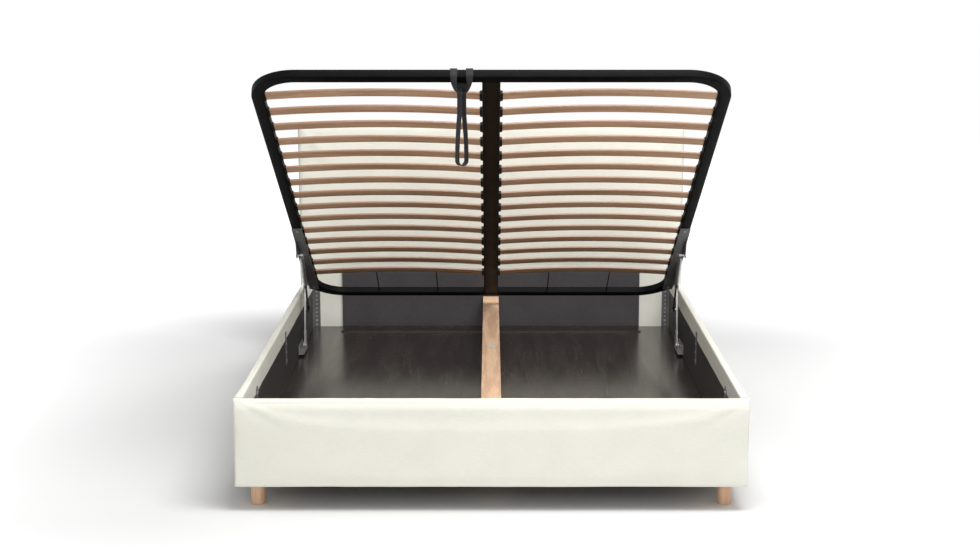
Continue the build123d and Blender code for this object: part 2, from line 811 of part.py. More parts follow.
def lift_bracket(screws, side):
    """Plate on the rail with the two fixed pivots, and a spare hole between them."""
    low = bracket_bottom
    front_low = Link.front_low
    rear_low = Link.rear_low
    bar = bar_yz(front_low, rear_low, lobe_radius * 2, plate_in, plate_out)
    y0 = front_low[0] - lobe_radius
    y1 = rear_low[0] + lobe_radius
    for place in (front_low, rear_low):
        bar = bar + block(plate_in, plate_out, place[0] - bracket_foot, place[0] + bracket_foot, low, place[1])
    foot = block(plate_in, inner_x, y0 - lobe_radius, y1 + lobe_radius, low - plate_thickness, low)
    flange = block(inner_x - plate_thickness, inner_x, y0 - lobe_radius, y1 + lobe_radius,
                   low, low + bracket_flange_height)
    bracket = bar + foot + flange
    bore = pivot_pin_diameter + 2 * running_gap
    for place in (front_low, rear_low):
        bracket = bracket - rod_x(plate_in, plate_out, place[0], place[1], bore)
    middle = ((front_low[0] + rear_low[0]) / 2, (front_low[1] + rear_low[1]) / 2)
    bracket = bracket - rod_x(plate_in, plate_out, middle[0], middle[1], pivot_pin_diameter)
    for y in (y0, (y0 + y1) / 2, y1):
        screw = screw_x(inner_x - plate_thickness, y, low + bracket_flange_height / 2, 1,
                        screw_diameter, screw_head_diameter, screw_head_height, screw_grip)
        bracket = bracket - screw
        screws.append(screw if side > 0 else mirrored(screw))
    return bracket if side > 0 else mirrored(bracket)


def strut_places():
    """The strut's upper pivot on the lift plate and its stud on the front link."""
    upper = frame_point(strut_pivot_from_rear, -strut_pivot_below_frame)
    reach = front_link_length - strut_stud_below_link_top
    stud = (Link.front_low[0] + reach * cos(Link.lean), Link.front_low[1] + reach * sin(Link.lean))
    return upper, stud


def strut_parts():
    """A gas cylinder and its rod, along the line from the upper pivot to the stud."""
    upper, stud = strut_places()
    length = hypot(stud[0] - upper[0], stud[1] - upper[1])
    turn = degrees(atan2(stud[1] - upper[1], stud[0] - upper[0]))
    bore = strut_diameter - 2 * strut_wall
    neck = strut_end_length * 2 / 3

    def along(start, end, diameter):
        return rod_y(0, start, end, 0, diameter)

    body_end = neck + strut_body_length
    eye = rod_x(-strut_eye_thickness / 2, strut_eye_thickness / 2, 0, 0, strut_diameter)
    cylinder = eye + along(0, neck + strut_wall, strut_neck_diameter)
    cylinder = cylinder + along(neck, body_end, strut_diameter)
    cylinder = cylinder - along(neck + 2 * strut_wall, body_end - 2 * strut_wall, bore)
    cylinder = cylinder - along(body_end - 3 * strut_wall, body_end, strut_rod_diameter + 2 * running_gap)
    cylinder = cylinder - rod_x(-strut_diameter, strut_diameter, 0, 0, strut_pin_diameter + 2 * running_gap)
    end_eye = rod_x(-strut_eye_thickness / 2, strut_diameter / 2, length, 0, strut_diameter)
    end_eye = end_eye + along(length - strut_end_length, length, strut_rod_diameter * 3 / 2)
    piston_low = body_end - 2 * strut_wall - strut_tail
    rod = end_eye + along(piston_low, length - strut_end_length, strut_rod_diameter)
    rod = rod + along(piston_low, piston_low + strut_tail / 2, bore - 4 * running_gap)
    place = Pos(strut_x, upper[0], upper[1]) * Rot(turn, 0, 0)
    return place * cylinder, place * rod


def lift_mechanism(screws):
    """Brackets, links, pins, plates and gas struts of both sides."""
    plate_screws = []
    fixed_pins = []
    plate_pins = []
    studs = []
    top_pins = []
    upper, stud = strut_places()
    cylinder, rod = strut_parts()
    lower_bore = pivot_pin_diameter + 2 * running_gap
    front_link = bar_yz(Link.front_low, Link.front_top, link_width, front_link_in, front_link_out)
    rear_link = bar_yz(Link.rear_low, Link.rear_top, link_width, rear_link_in, rear_link_out)
    for place in (Link.front_low, Link.front_top):
        front_link = front_link - rod_x(front_link_in, front_link_out, place[0], place[1], lower_bore)
    front_link = front_link - rod_x(front_link_in, front_link_out, stud[0], stud[1], strut_pin_diameter)
    rear_link = rear_link - rod_x(rear_link_in, rear_link_out, *Link.rear_low, lower_bore)
    rear_link = rear_link - rod_x(rear_link_in, rear_link_out, *Link.rear_top, open_pin_diameter)
    head = pivot_head_diameter
    rise = pivot_head_height
    for name, side in (("left", -1), ("right", 1)):
        bracket = lift_bracket(screws, side)
        keep(name + "_lift_bracket", bracket)
        keep(name + "_lift_plate", lift_plate(side, plate_screws))
        pins = [
            rivet(plate_out, front_link_in - running_gap, Link.front_low, pivot_pin_diameter, head, rise),
            pin(rear_link_out + running_gap, plate_in, Link.rear_low, pivot_pin_diameter, head, rise),
        ]
        top = pin(front_link_in - running_gap, plate_out, Link.front_top, pivot_pin_diameter, head, rise)
        strut_end = strut_x - strut_eye_thickness / 2
        hanger = rivet(plate_out, strut_end - running_gap, upper, strut_pin_diameter, stud_head_diameter,
                       stud_head_height)
        stud_end = strut_out + 2 * running_gap + stud_head_height
        side_stud = pin(stud_end, front_link_out, stud, strut_pin_diameter, stud_head_diameter, stud_head_height)
        washer_face = plate_in - link_gap
        loose = pin(rear_link_out, washer_face, Link.rear_top, open_pin_diameter, open_head_diameter / 2,
                    stud_head_height)
        washer = rod_x(washer_face, washer_face - stud_head_height, *Link.rear_top, open_head_diameter)
        group = [front_link, rear_link, cylinder, rod, side_stud, loose + washer, top, hanger] + pins
        if side < 0:
            group = [mirrored(item) for item in group]
        keep(name + "_front_link", group[0])
        keep(name + "_rear_link", group[1])
        keep(name + "_gas_cylinder", group[2])
        keep(name + "_gas_rod", group[3])
        studs.append(group[4])
        top_pins.append(group[5])
        plate_pins.extend(group[6:8])
        fixed_pins.extend(group[8:])
    keep("lift_plate_screws", *plate_screws)
    keep("lower_pivot_pins", *fixed_pins)
    keep("lift_plate_pins", *plate_pins)
    keep("strut_lower_studs", *studs)
    keep("rear_link_top_pins", *top_pins)
    for name in ("side_tubes", "head_tube"):
        bore_all(name, plate_screws)


def pull_strap():
    """Webbing hitched round the foot tube, and the loop that hangs from its knot."""
    gap = strap_gap
    thick = strap_thickness
    y0 = -frame_length
    bands = []
    for offset in strap_band_offsets:
        x0 = -offset - strap_width / 2
        x1 = -offset + strap_width / 2
        outer = block(x0, x1, y0 - gap - thick, y0 + tube_width + gap + thick, -gap - thick, tube_depth + gap + thick)
        inner = block(x0, x1, y0 - gap, y0 + tube_width + gap, -gap, tube_depth + gap)
        bands.append(on_frame(outer - inner))
    low_y, low_z = frame_point(frame_length - tube_width / 2, -gap - thick / 2)
    half_k = knot_width / 2
    reach = max(strap_band_offsets) - strap_offset + strap_width / 2
    shoulder = Plane.XZ * make_face(Polyline(
        (-strap_offset - reach, low_z), (-strap_offset + reach, low_z),
        (-strap_offset + half_k, low_z - knot_height), (-strap_offset - half_k, low_z - knot_height), close=True))
    knot = Pos(0, low_y + knot_depth / 2, 0) * extrude(shoulder, amount=knot_depth)
    tube_body = on_frame(block(-frame_width / 2, frame_width / 2, y0 - gap, y0 + tube_width + gap, -gap,
                               tube_depth + gap))
    hitch = knot - tube_body
    for band in bands:
        hitch = hitch + band
    keep("strap_hitch", hitch)
    pivot_z = low_z - knot_height - fit_gap - thick
    top = pivot_z - thick * 2
    wide = strap_loop_half_width
    low = top - strap_loop_length
    round_z = low + wide
    narrow = thick * 2
    outer_lines = [
        Line((-narrow, top), (narrow, top)),
        Spline((narrow, top), (wide * 3 / 4, (top + round_z) / 2), (wide, round_z),
               tangents=((0, -1), (0, -1))),
        CenterArc((0, round_z), wide, 180, 180),
        Spline((-wide, round_z), (-wide * 3 / 4, (top + round_z) / 2), (-narrow, top),
               tangents=((0, 1), (0, 1))),
    ]
    in_wide = wide - thick
    in_top = top - thick * 2
    in_narrow = narrow - thick
    inner_lines = [
        Line((-in_narrow, in_top), (in_narrow, in_top)),
        Spline((in_narrow, in_top), (in_wide * 3 / 4, (top + round_z) / 2), (in_wide, round_z),
               tangents=((0, -1), (0, -1))),
        CenterArc((0, round_z), in_wide, 180, 180),
        Spline((-in_wide, round_z), (-in_wide * 3 / 4, (top + round_z) / 2), (-in_narrow, in_top),
               tangents=((0, 1), (0, 1))),
    ]
    band_face = Plane.XZ * (make_face(outer_lines) - make_face(inner_lines))
    loop = Pos(0, strap_width / 2, 0) * extrude(band_face, amount=strap_width)
    neck = rod_x(-narrow, narrow, 0, pivot_z, thick * 2) + block(-narrow, narrow, -thick, thick, top, pivot_z)
    keep("strap_loop", Pos(-strap_offset, low_y, 0) * (Rot(0, 0, strap_twist) * loop + neck))


def build():
    """Makes every sub-part and writes one file for each."""
    front_panel()
    side_rail("left", -1)
    side_rail("right", 1)
    headboard()
    rear_panel()
    box_floor()
    linings()
    legs()
    centre_rail()
    corner_posts()
    screws = side_fittings()
    frame_tubes()
    centre_beam()
    slats()
    stay_wires()
    lift_mechanism(screws)
    keep("side_screws", *screws)
    for name in ("left_rail_board", "right_rail_board", "left_rail_cover", "right_rail_cover", "side_linings"):
        bore_all(name, screws)
    pull_strap()
    for name, solids in nodes.items():
        export_step(Compound(children=[copy_of(item) for item in solids]), "parts/" + name + ".step")
    print(len(nodes), "sub-parts written")


def copy_of(item):
    """A solid by itself, free of the tree that it was made in."""
    return Solid(item.wrapped)


build()
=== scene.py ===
from functools import partial
from math import atan2, cos, pi, radians, sin

import bmesh
import bpy
from mathutils import Matrix, Vector, noise


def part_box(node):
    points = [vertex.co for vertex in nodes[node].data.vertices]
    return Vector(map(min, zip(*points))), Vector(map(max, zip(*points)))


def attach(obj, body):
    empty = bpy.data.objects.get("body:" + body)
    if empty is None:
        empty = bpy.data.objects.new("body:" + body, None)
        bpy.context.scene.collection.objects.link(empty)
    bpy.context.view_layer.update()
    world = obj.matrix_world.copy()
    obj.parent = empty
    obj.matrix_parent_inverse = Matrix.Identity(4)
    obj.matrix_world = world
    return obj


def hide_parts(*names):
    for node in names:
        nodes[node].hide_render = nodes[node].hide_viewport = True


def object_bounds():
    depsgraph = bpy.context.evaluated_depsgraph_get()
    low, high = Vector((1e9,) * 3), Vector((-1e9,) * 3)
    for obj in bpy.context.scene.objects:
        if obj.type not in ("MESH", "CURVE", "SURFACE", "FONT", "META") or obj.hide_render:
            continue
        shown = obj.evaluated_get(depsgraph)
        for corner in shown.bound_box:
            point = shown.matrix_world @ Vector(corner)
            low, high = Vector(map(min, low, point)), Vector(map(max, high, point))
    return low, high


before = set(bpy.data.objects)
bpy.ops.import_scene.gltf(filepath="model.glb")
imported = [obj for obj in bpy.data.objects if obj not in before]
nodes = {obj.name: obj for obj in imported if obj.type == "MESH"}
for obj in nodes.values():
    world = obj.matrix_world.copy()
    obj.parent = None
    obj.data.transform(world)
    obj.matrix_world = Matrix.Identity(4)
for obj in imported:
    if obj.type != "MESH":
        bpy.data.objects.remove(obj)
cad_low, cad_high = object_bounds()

# An upholstered storage bed with its slatted base raised. Metres, in the frame's own axes.

merge_distance = 1e-6

# Camera, from the photograph's own perspective
image_width = 980
focal_pixels = 1620
sensor_millimetres = 36.0
camera_pitch = radians(10.90)
camera_height = 1.679
camera_from_front = 4.823
camera_side = -0.004

# Padded boards: radii of the section, and how far the face rolls back under its top
hem_radius = 0.010
front_roll = 0.036
front_setback = 0.008
front_top_radius = 0.011
front_inner_radius = 0.010
front_sink = 0.0015
rail_roll = 0.020
rail_setback = 0.002
rail_top_radius = 0.007
rail_inner_radius = 0.005
end_radius = 0.010
end_steps = 5
ear_height = 0.016
ear_drawn = 0.25
skin_step = 0.009
roll_steps = 6
top_steps = 5
turn_steps = 4
base_steps = 3
cover_margin = 0.004
cover_fill = 0.9
front_held_share = 0.7
rail_held_share = 0.6
held_edge = 0.012

# Headboard and rear panel
headboard_edge = 0.020
headboard_step = 0.010
headboard_margin = 0.006
headboard_ripple = 1.6
headboard_fill = 0.8
headboard_settling = (0.5, 0.004)
headboard_edge_parts = 5
headboard_softening = 3
headboard_smooth_angle = 60
back_clear = 0.007
press_margin = 0.020
panel_edge = 0.003
panel_ripple = 0.6
panel_columns = 60
panel_rows = 12

# Cloth over foam
ripple_size = 0.11
ripple_depth = 0.0009
dimple_size = 0.028
dimple_depth = 0.00025
settle_frames = 20
cloth_rules = {"quality": 5, "mass": 0.3, "tension_stiffness": 12, "compression_stiffness": 12,
               "bending_stiffness": 0.4, "shrink_min": 0.001, "use_pressure": True,
               "uniform_pressure_force": 2.5, "vertex_group_mass": "held"}

# Slatted base
slat_bow = 0.0125
slat_thickness = 0.008
slat_width = 0.043
slat_edge = 0.0022
slat_stations = 33
tube_edge = 0.0035
corner_radius = 0.150
corner_stations = 20
beam_edge = 0.003
socket_width = 0.049
socket_depth = 0.014
socket_lip = 0.0012
socket_edge = 0.002
socket_lip_end = -0.25
socket_inner_reach = 0.3
profile_stations = 4
bar_smooth_angle = 35

# Webbing
web_width = 0.022
web_thickness = 0.0024
web_gap = 0.0004
web_edge_share = 0.3
web_run_parts = 5
neck_spread = 0.0080
neck_half = Vector((-0.0072, 0.0083, 0.0))
loop_spread = 0.0168
loop_step = 30
strand_stations = ((0.0, 0.0080, 0.0), (0.12, 0.0078, 0.0), (0.30, 0.0086, 0.15), (0.45, 0.0112, 0.45),
                   (0.62, 0.0142, 0.75), (0.80, 0.0163, 1.0))
neck_stations = (((0, 0.004, 0.002), 0.0, 0.9), ((0, 0.008, 0.010), 0.4, 0.8))
front_stations = ((0.28, 0.0, 0.9), (0.58, 0.14, 0.75), (0.84, 0.5, 0.7))
neck_ends = (0.004, -0.001)
rear_shares = (0.06, 0.25, 0.85, 1.0)
rise_step = (0.001, -0.008, -0.006)
rise_below = 0.002
rise_width = 0.95
rear_start = 0.004
front_middle = 0.55
front_leave = 0.001
web_turn = 0.003
band_lean = 0.0035
strap_twist = radians(35)
strap_across = Vector((cos(strap_twist), sin(strap_twist), 0))
strap_depth = Vector((-sin(strap_twist), cos(strap_twist), 0)) * web_width / 2

# Stage: each lamp's name, place, target, width, depth and power
lamps = (("key", (2.8, -3.2, 5.0), (0.0, -0.2, 0.4), 2.6, 2.6, 66.0),
         ("front", (0.3, -6.0, 2.4), (0.0, 0.2, 0.7), 3.4, 2.2, 44.0),
         ("top", (0.8, -1.6, 4.0), (0.0, 1.0, 0.6), 2.7, 1.4, 149.0))
white = (1.0, 1.0, 1.0, 1.0)
world_light = 0.50
floor_reach = 9.0
floor_grey = (0.74, 0.74, 0.74, 1.0)
# Painted shade round the bed: the floor's glow is zero at the bed and rises over a reach, which stretches
# further to the sides.
floor_painted_shade_x_scale = 0.7
floor_painted_shade_reach = 1.5
floor_glow = 0.7


# --------------------frame helpers


def base_axes():
    """The raised base's own place: its rear underside line, and how far it is turned."""
    points = [v.co for v in nodes["centre_beam"].data.vertices]
    rear = min(points, key=lambda p: p.z)
    foot = min(points, key=lambda p: p.y)
    tilt = atan2(foot.z - rear.z, rear.y - foot.y)
    return Matrix.Translation((0, rear.y, rear.z)) @ Matrix.Rotation(-tilt, 4, "X")


raised = base_axes()
flat = raised.inverted()
base_place = tuple(raised.translation)
base_turn = tuple(raised.to_euler())


def corners(points):
    """Lowest and highest corner of some points."""
    low = Vector(min(p[i] for p in points) for i in range(3))
    high = Vector(max(p[i] for p in points) for i in range(3))
    return low, high


def islands(node, place):
    """Lowest and highest corner of each solid of a CAD node, in the axes that place gives."""
    mesh = bmesh.new()
    mesh.from_mesh(nodes[node].data)
    bmesh.ops.transform(mesh, matrix=place, verts=mesh.verts)
    bmesh.ops.remove_doubles(mesh, verts=mesh.verts, dist=merge_distance)
    seen = set()
    found = []
    for start in mesh.verts:
        if start in seen:
            continue
        seen.add(start)
        group = [start]
        for vert in group:
            for edge in vert.link_edges:
                other = edge.other_vert(vert)
                if other not in seen:
                    seen.add(other)
                    group.append(other)
        found.append(corners([v.co for v in group]))
    mesh.free()
    return found


def box_in(node, place):
    """Lowest and highest corner of a CAD node in the axes that place gives."""
    return corners([place @ v.co for v in nodes[node].data.vertices])


# --------------------node helpers


def put(tree, kind, links=(), **settings):
    """A node with its properties, and its inputs from sockets or values."""
    node = tree.nodes.new(kind)
    for key, value in settings.items():
        setattr(node, key, value)
    for label, value in links:
        if isinstance(value, bpy.types.NodeSocket):
            tree.links.new(value, node.inputs[label])
        else:
            node.inputs[label].default_value = value
    return node


def maths(tree, operation, first, second=None, clamp=False):
    """The result of a maths node whose inputs are sockets or plain numbers."""
    links = [(0, first)] if second is None else [(0, first), (1, second)]
    return put(tree, "ShaderNodeMath", links, operation=operation, use_clamp=clamp).outputs[0]


def weighed(tree, *terms):
    """The sum of some values, each times its weight."""
    total = None
    for value, weight in terms:
        part = maths(tree, "MULTIPLY", value, weight)
        total = part if total is None else maths(tree, "ADD", total, part)
    return total


def noise_of(tree, vector, scale, detail=3.0, roughness=0.5):
    """A noise texture's value at a vector."""
    return put(tree, "ShaderNodeTexNoise", [("Vector", vector), ("Scale", scale), ("Detail", detail),
                                            ("Roughness", roughness)]).outputs["Fac"]


def stretched(tree, vector, scale):
    """A vector scaled differently along each axis."""
    return put(tree, "ShaderNodeVectorMath", [(0, vector), (1, scale)], operation="MULTIPLY").outputs[0]


def split(tree, vector):
    """The three parts of a vector."""
    return put(tree, "ShaderNodeSeparateXYZ", [(0, vector)]).outputs


# --------------------shader groups

fuzz_scale = 900.0
slub_scale = (60.0, 60.0, 240.0)
cloud_scale = 9.0
figure_scale = (2.2, 26.0, 26.0)
fibre_scale = (14.0, 420.0, 420.0)
pore_scale = (90.0, 1300.0, 1300.0)
ring_count = 26.0
pore_limit = 0.66
rub_scale = 14.0
cloth_stops = (0.32, 0.68)
wood_stops = (0.30, 0.62)
hard_stops = (0.35, 0.65)
cloth_strength = 0.55
wood_strength = 0.5
hard_strength = 0.35
cloth_gloss = 0.25
sheen_roughness = 0.5
coat_roughness = 0.18
pore_share = 0.35


def group_tree(name, inputs, outputs):
    """A shader group over a vector, with named numbers in and out."""
    tree = bpy.data.node_groups.new(name, "ShaderNodeTree")
    tree.interface.new_socket("Vector", in_out="INPUT", socket_type="NodeSocketVector")
    for way, labels in (("INPUT", inputs), ("OUTPUT", outputs)):
        for label in labels:
            tree.interface.new_socket(label, in_out=way, socket_type="NodeSocketFloat")
    return tree, put(tree, "NodeGroupInput").outputs


def closed(tree, **results):
    """Ends a group with its results."""
    put(tree, "NodeGroupOutput", results.items())
    return tree


def cloth_group():
    """Woven cloth: fine threads on every face, slubs, and a broad unevenness."""
    tree, given = group_tree("woven cloth", ("Threads", "Slub"), ("Shade", "Height"))
    vector = given["Vector"]
    times = partial(maths, tree, "MULTIPLY")
    parts = split(tree, vector)
    x, y, z = (maths(tree, "SINE", times(times(parts[axis], given["Threads"]), 2 * pi)) for axis in "XYZ")
    weave = weighed(tree, (x, z), (x, y), (y, z))
    fuzz = noise_of(tree, vector, fuzz_scale, 2.0)
    slub = noise_of(tree, stretched(tree, vector, slub_scale), 1.0, 4.0, 0.6)
    cloudy = noise_of(tree, vector, cloud_scale, 2.0)
    return closed(tree, Shade=weighed(tree, (slub, 0.55), (cloudy, 0.45)),
                  Height=weighed(tree, (weave, 0.25), (fuzz, 0.6), (slub, given["Slub"])))


def wood_group():
    """Planed wood: long fibres, a broad figure and fine pores, along the vector's own X."""
    tree, given = group_tree("planed wood", ("Figure",), ("Shade", "Pores", "Height"))
    vector = given["Vector"]
    figure = noise_of(tree, stretched(tree, vector, figure_scale), given["Figure"], 4.0, 0.6)
    fibre = noise_of(tree, stretched(tree, vector, fibre_scale), 1.0, 3.0, 0.6)
    pores = noise_of(tree, stretched(tree, vector, pore_scale), 1.0, 1.0)
    rings = maths(tree, "SINE", maths(tree, "MULTIPLY", figure, ring_count))
    speck = maths(tree, "GREATER_THAN", pores, pore_limit)
    return closed(tree, Shade=weighed(tree, (figure, 0.55), (fibre, 0.35), (rings, 0.07)), Pores=speck,
                  Height=weighed(tree, (fibre, 0.6), (speck, -0.4)))


def finish_group():
    """Coated or plated surface: orange peel, rubbed patches and light dust on what faces up."""
    tree, given = group_tree("hard finish", ("Grain", "Dust"), ("Shade", "Dust", "Height"))
    peel = noise_of(tree, given["Vector"], given["Grain"], 2.0)
    rubbed = noise_of(tree, given["Vector"], rub_scale, 5.0, 0.62)
    upward = split(tree, put(tree, "ShaderNodeNewGeometry").outputs["Normal"])["Z"]
    up = maths(tree, "MULTIPLY", maths(tree, "MAXIMUM", upward, 0.0), given["Dust"])
    return closed(tree, Shade=weighed(tree, (rubbed, 0.8), (peel, 0.2)),
                  Dust=maths(tree, "MULTIPLY", up, rubbed, True), Height=peel)


cloth = cloth_group()
wood = wood_group()
hard = finish_group()


# --------------------materials


class Finish:
    """A material under construction: its Principled shader and the nodes that feed it."""

    def __init__(self, name, roughness, metallic=0.0):
        self.material = bpy.data.materials.new(name)
        self.material.use_nodes = True
        self.put = partial(put, self.material.node_tree)
        self.shader = self.material.node_tree.nodes["Principled BSDF"]
        self.hold({"Roughness": roughness, "Metallic": metallic})
        self.where = self.put("ShaderNodeTexCoord").outputs
        self.place = self.where["Object"]

    def hold(self, values):
        """Plain values on the shader."""
        for label, value in values.items():
            self.shader.inputs[label].default_value = value

    def feed(self, label, socket):
        """A shader input that comes from a node."""
        self.material.node_tree.links.new(socket, self.shader.inputs[label])

    def turned(self, turn):
        """Turns the pattern, so that its X runs along a piece."""
        links = [("Vector", self.place), ("Rotation", turn)]
        self.place = self.put("ShaderNodeMapping", links).outputs["Vector"]

    def group(self, tree, **values):
        """One shared group with this material's own values."""
        return self.put("ShaderNodeGroup", [("Vector", self.place), *values.items()], node_tree=tree).outputs

    def ramp(self, factor, stops, *colours):
        """Two colours over a factor, each from its own position."""
        node = self.put("ShaderNodeValToRGB", [(0, factor)])
        for element, where, colour in zip(node.color_ramp.elements, stops, colours):
            element.position = where
            element.color = (*colour, 1.0)
        return node.outputs[0]

    def mixed(self, factor, first, second):
        """Two colours mixed by a factor; the second is a plain colour."""
        links = [(0, factor), (6, first), (7, (*second, 1.0))]
        return self.put("ShaderNodeMix", links, data_type="RGBA").outputs[2]

    def spread(self, factor, low, high, source_low=0.3, source_high=0.7):
        """A value spread between two limits."""
        return self.put("ShaderNodeMapRange", [("Value", factor), ("From Min", source_low), ("To Min", low),
                                               ("From Max", source_high), ("To Max", high)]).outputs[0]

    def bump(self, height, distance, strength):
        """Relief from a height."""
        links = [("Distance", distance), ("Strength", strength), ("Height", height)]
        self.feed("Normal", self.put("ShaderNodeBump", links).outputs[0])

    def facing(self, axis):
        """How far a face looks along an axis, either way, as the share of painted shade that it gets."""
        links = [(0, self.where["Normal"]), (1, axis)]
        along = self.put("ShaderNodeVectorMath", links, operation="DOT_PRODUCT")
        seen = maths(self.material.node_tree, "ABSOLUTE", along.outputs["Value"])
        return self.spread(seen, 0.0, edge_shade_share, *edge_shade_angles)


def cloth_finish(name, dark, light, threads, slub, relief, sheen=0.0, roughness=0.9):
    """A woven cloth between two near colours."""
    f = Finish(name, roughness)
    out = f.group(cloth, Threads=threads, Slub=slub)
    f.feed("Base Color", f.ramp(out["Shade"], cloth_stops, dark, light))
    f.bump(out["Height"], relief, cloth_strength)
    f.hold({"Sheen Weight": sheen, "Sheen Roughness": sheen_roughness, "Specular IOR Level": cloth_gloss})
    return f.material


def wood_finish(name, dark, light, pore, turn, figure=1.0, roughness=(0.35, 0.5), coat=0.0, relief=0.0002,
                edge=None):
    """Planed wood, its grain along the piece. The faces that look along edge get painted shade, a darker brown.
    """
    f = Finish(name, roughness[0])
    f.turned(turn)
    out = f.group(wood, Figure=figure)
    colour = f.mixed(f.spread(out["Pores"], 0.0, pore_share, 0.0, 1.0),
                     f.ramp(out["Shade"], wood_stops, dark, light), pore)
    # Painted shade: faces that look along edge are mixed towards the dark edge colour.
    if edge is not None:
        colour = f.mixed(f.facing(edge), colour, painted_edge_shade)
    f.feed("Base Color", colour)
    f.feed("Roughness", f.spread(out["Shade"], *roughness))
    f.bump(out["Height"], relief, wood_strength)
    f.hold({"Coat Weight": coat, "Coat Roughness": coat_roughness})
    return f.material


def hard_finish(name, dark, light, roughness, metallic=0.0, grain=260.0, dust=0.15, relief=0.00012,
                gloss=0.5):
    """Coated or plated steel, or moulded plastic."""
    f = Finish(name, roughness[0], metallic)
    out = f.group(hard, Grain=grain, Dust=dust)
    f.feed("Base Color", f.mixed(out["Dust"], f.ramp(out["Shade"], hard_stops, dark, light), dust_grey))
    f.feed("Roughness", f.spread(out["Shade"], *roughness))
    f.bump(out["Height"], relief, hard_strength)
    f.hold({"Specular IOR Level": gloss})
    return f.material


def grey(value):
    """A neutral colour."""
    return value, value, value


dust_grey = (0.30, 0.28, 0.25)
# Painted shade on the slats' edge faces: its dark brown, its share, and the angles over which it comes in.
painted_edge_shade = (0.235, 0.129, 0.074)
edge_shade_share = 0.9
edge_shade_angles = (0.45, 0.85)
slat_sides = raised.to_3x3() @ Vector((0.0, 1.0, 0.0))
along_x = (0.0, 0.0, 0.0)
along_y = (0.0, 0.0, pi / 2)
along_z = (0.0, pi / 2, 0.0)

cream_cloth = cloth_finish("cream upholstery cloth", (0.775, 0.765, 0.680), (0.830, 0.820, 0.735), 430.0, 0.5,
                           0.00055, 0.05)
lining_cloth = cloth_finish("dark box lining", (0.034, 0.031, 0.030), (0.050, 0.046, 0.044), 600.0, 0.4,
                            0.0003, roughness=0.62)
panel_cloth = cloth_finish("grey cloth of the rear panel", (0.054, 0.050, 0.052), (0.072, 0.067, 0.069),
                           500.0, 0.6, 0.0004, 0.05)
back_cloth = cloth_finish("black dust cloth", grey(0.018), grey(0.030), 700.0, 0.3, 0.0002)
web_cloth = cloth_finish("black webbing", (0.015, 0.015, 0.016), (0.026, 0.026, 0.027), 620.0, 0.7, 0.0005,
                         0.05, 0.75)
felt_cloth = cloth_finish("pale felt", (0.62, 0.52, 0.40), (0.74, 0.63, 0.50), 300.0, 1.0, 0.0006)
slat_wood = wood_finish("lacquered slat beech", (0.455, 0.262, 0.157), (0.630, 0.390, 0.241),
                        (0.20, 0.10, 0.055), along_x, 1.0, (0.34, 0.46), 0.15, edge=slat_sides)
leg_wood = wood_finish("oiled leg beech", (0.600, 0.363, 0.228), (0.780, 0.514, 0.341), (0.34, 0.19, 0.11),
                       along_z, 1.4, (0.38, 0.5), 0.1)
rail_wood = wood_finish("pine of the centre rail", (0.640, 0.390, 0.240), (0.880, 0.600, 0.400),
                        (0.50, 0.29, 0.17), along_y, 1.2, (0.45, 0.6))
plain_wood = wood_finish("sawn softwood", (0.48, 0.34, 0.21), (0.66, 0.50, 0.33), (0.36, 0.24, 0.14),
                         along_y, 1.6, (0.6, 0.75))
floor_wood = wood_finish("glossy dark floor board", (0.026, 0.0185, 0.016), (0.043, 0.031, 0.026),
                         (0.012, 0.008, 0.007), along_y, 0.8, (0.20, 0.30), 0.25, 0.0001)
frame_coat = hard_finish("black coat of the frame", grey(0.0020), (0.0042, 0.0042, 0.0044), (0.40, 0.55),
                         0.0, 520.0, 0.01, 0.00006, gloss=0.04)
beam_coat = hard_finish("brown coat of the centre beam", (0.0075, 0.0042, 0.0026), (0.0120, 0.0072, 0.0046),
                        (0.38, 0.50), 0.0, 420.0, 0.02, gloss=0.12)
plate_coat = hard_finish("grey coat of the plates", (0.150, 0.150, 0.154), (0.215, 0.215, 0.220),
                         (0.36, 0.50), 0.35, 300.0, 0.1)
bracket_zinc = hard_finish("dull zinc of the brackets", grey(0.36), grey(0.50), (0.34, 0.48), 0.6, 240.0, 0.05)
post_coat = hard_finish("dark zinc of the posts", grey(0.18), grey(0.28), (0.36, 0.5), 0.7, 220.0, 0.1)
zinc = hard_finish("bright zinc plate", grey(0.42), grey(0.60), (0.24, 0.40), 0.9, 180.0, 0.05)
cylinder_steel = hard_finish("silver coat of the gas cylinders", (0.38, 0.38, 0.385), (0.50, 0.50, 0.505),
                             (0.24, 0.34), 0.75, 500.0, 0.05)
rod_steel = hard_finish("black rod", grey(0.008), grey(0.014), (0.16, 0.24), 0.2, 700.0, 0.0)
cap_plastic = hard_finish("black moulded sockets", grey(0.004), grey(0.009), (0.42, 0.55), 0.0, 900.0, 0.02,
                          gloss=0.15)
foot_plastic = hard_finish("black moulded feet", grey(0.012), grey(0.022), (0.45, 0.6), 0.0, 700.0, 0.1)


def dress(material, *names):
    """Gives CAD nodes a material in place of their packed one."""
    for name in names:
        slots = nodes[name].data.materials
        slots.clear()
        slots.append(material)


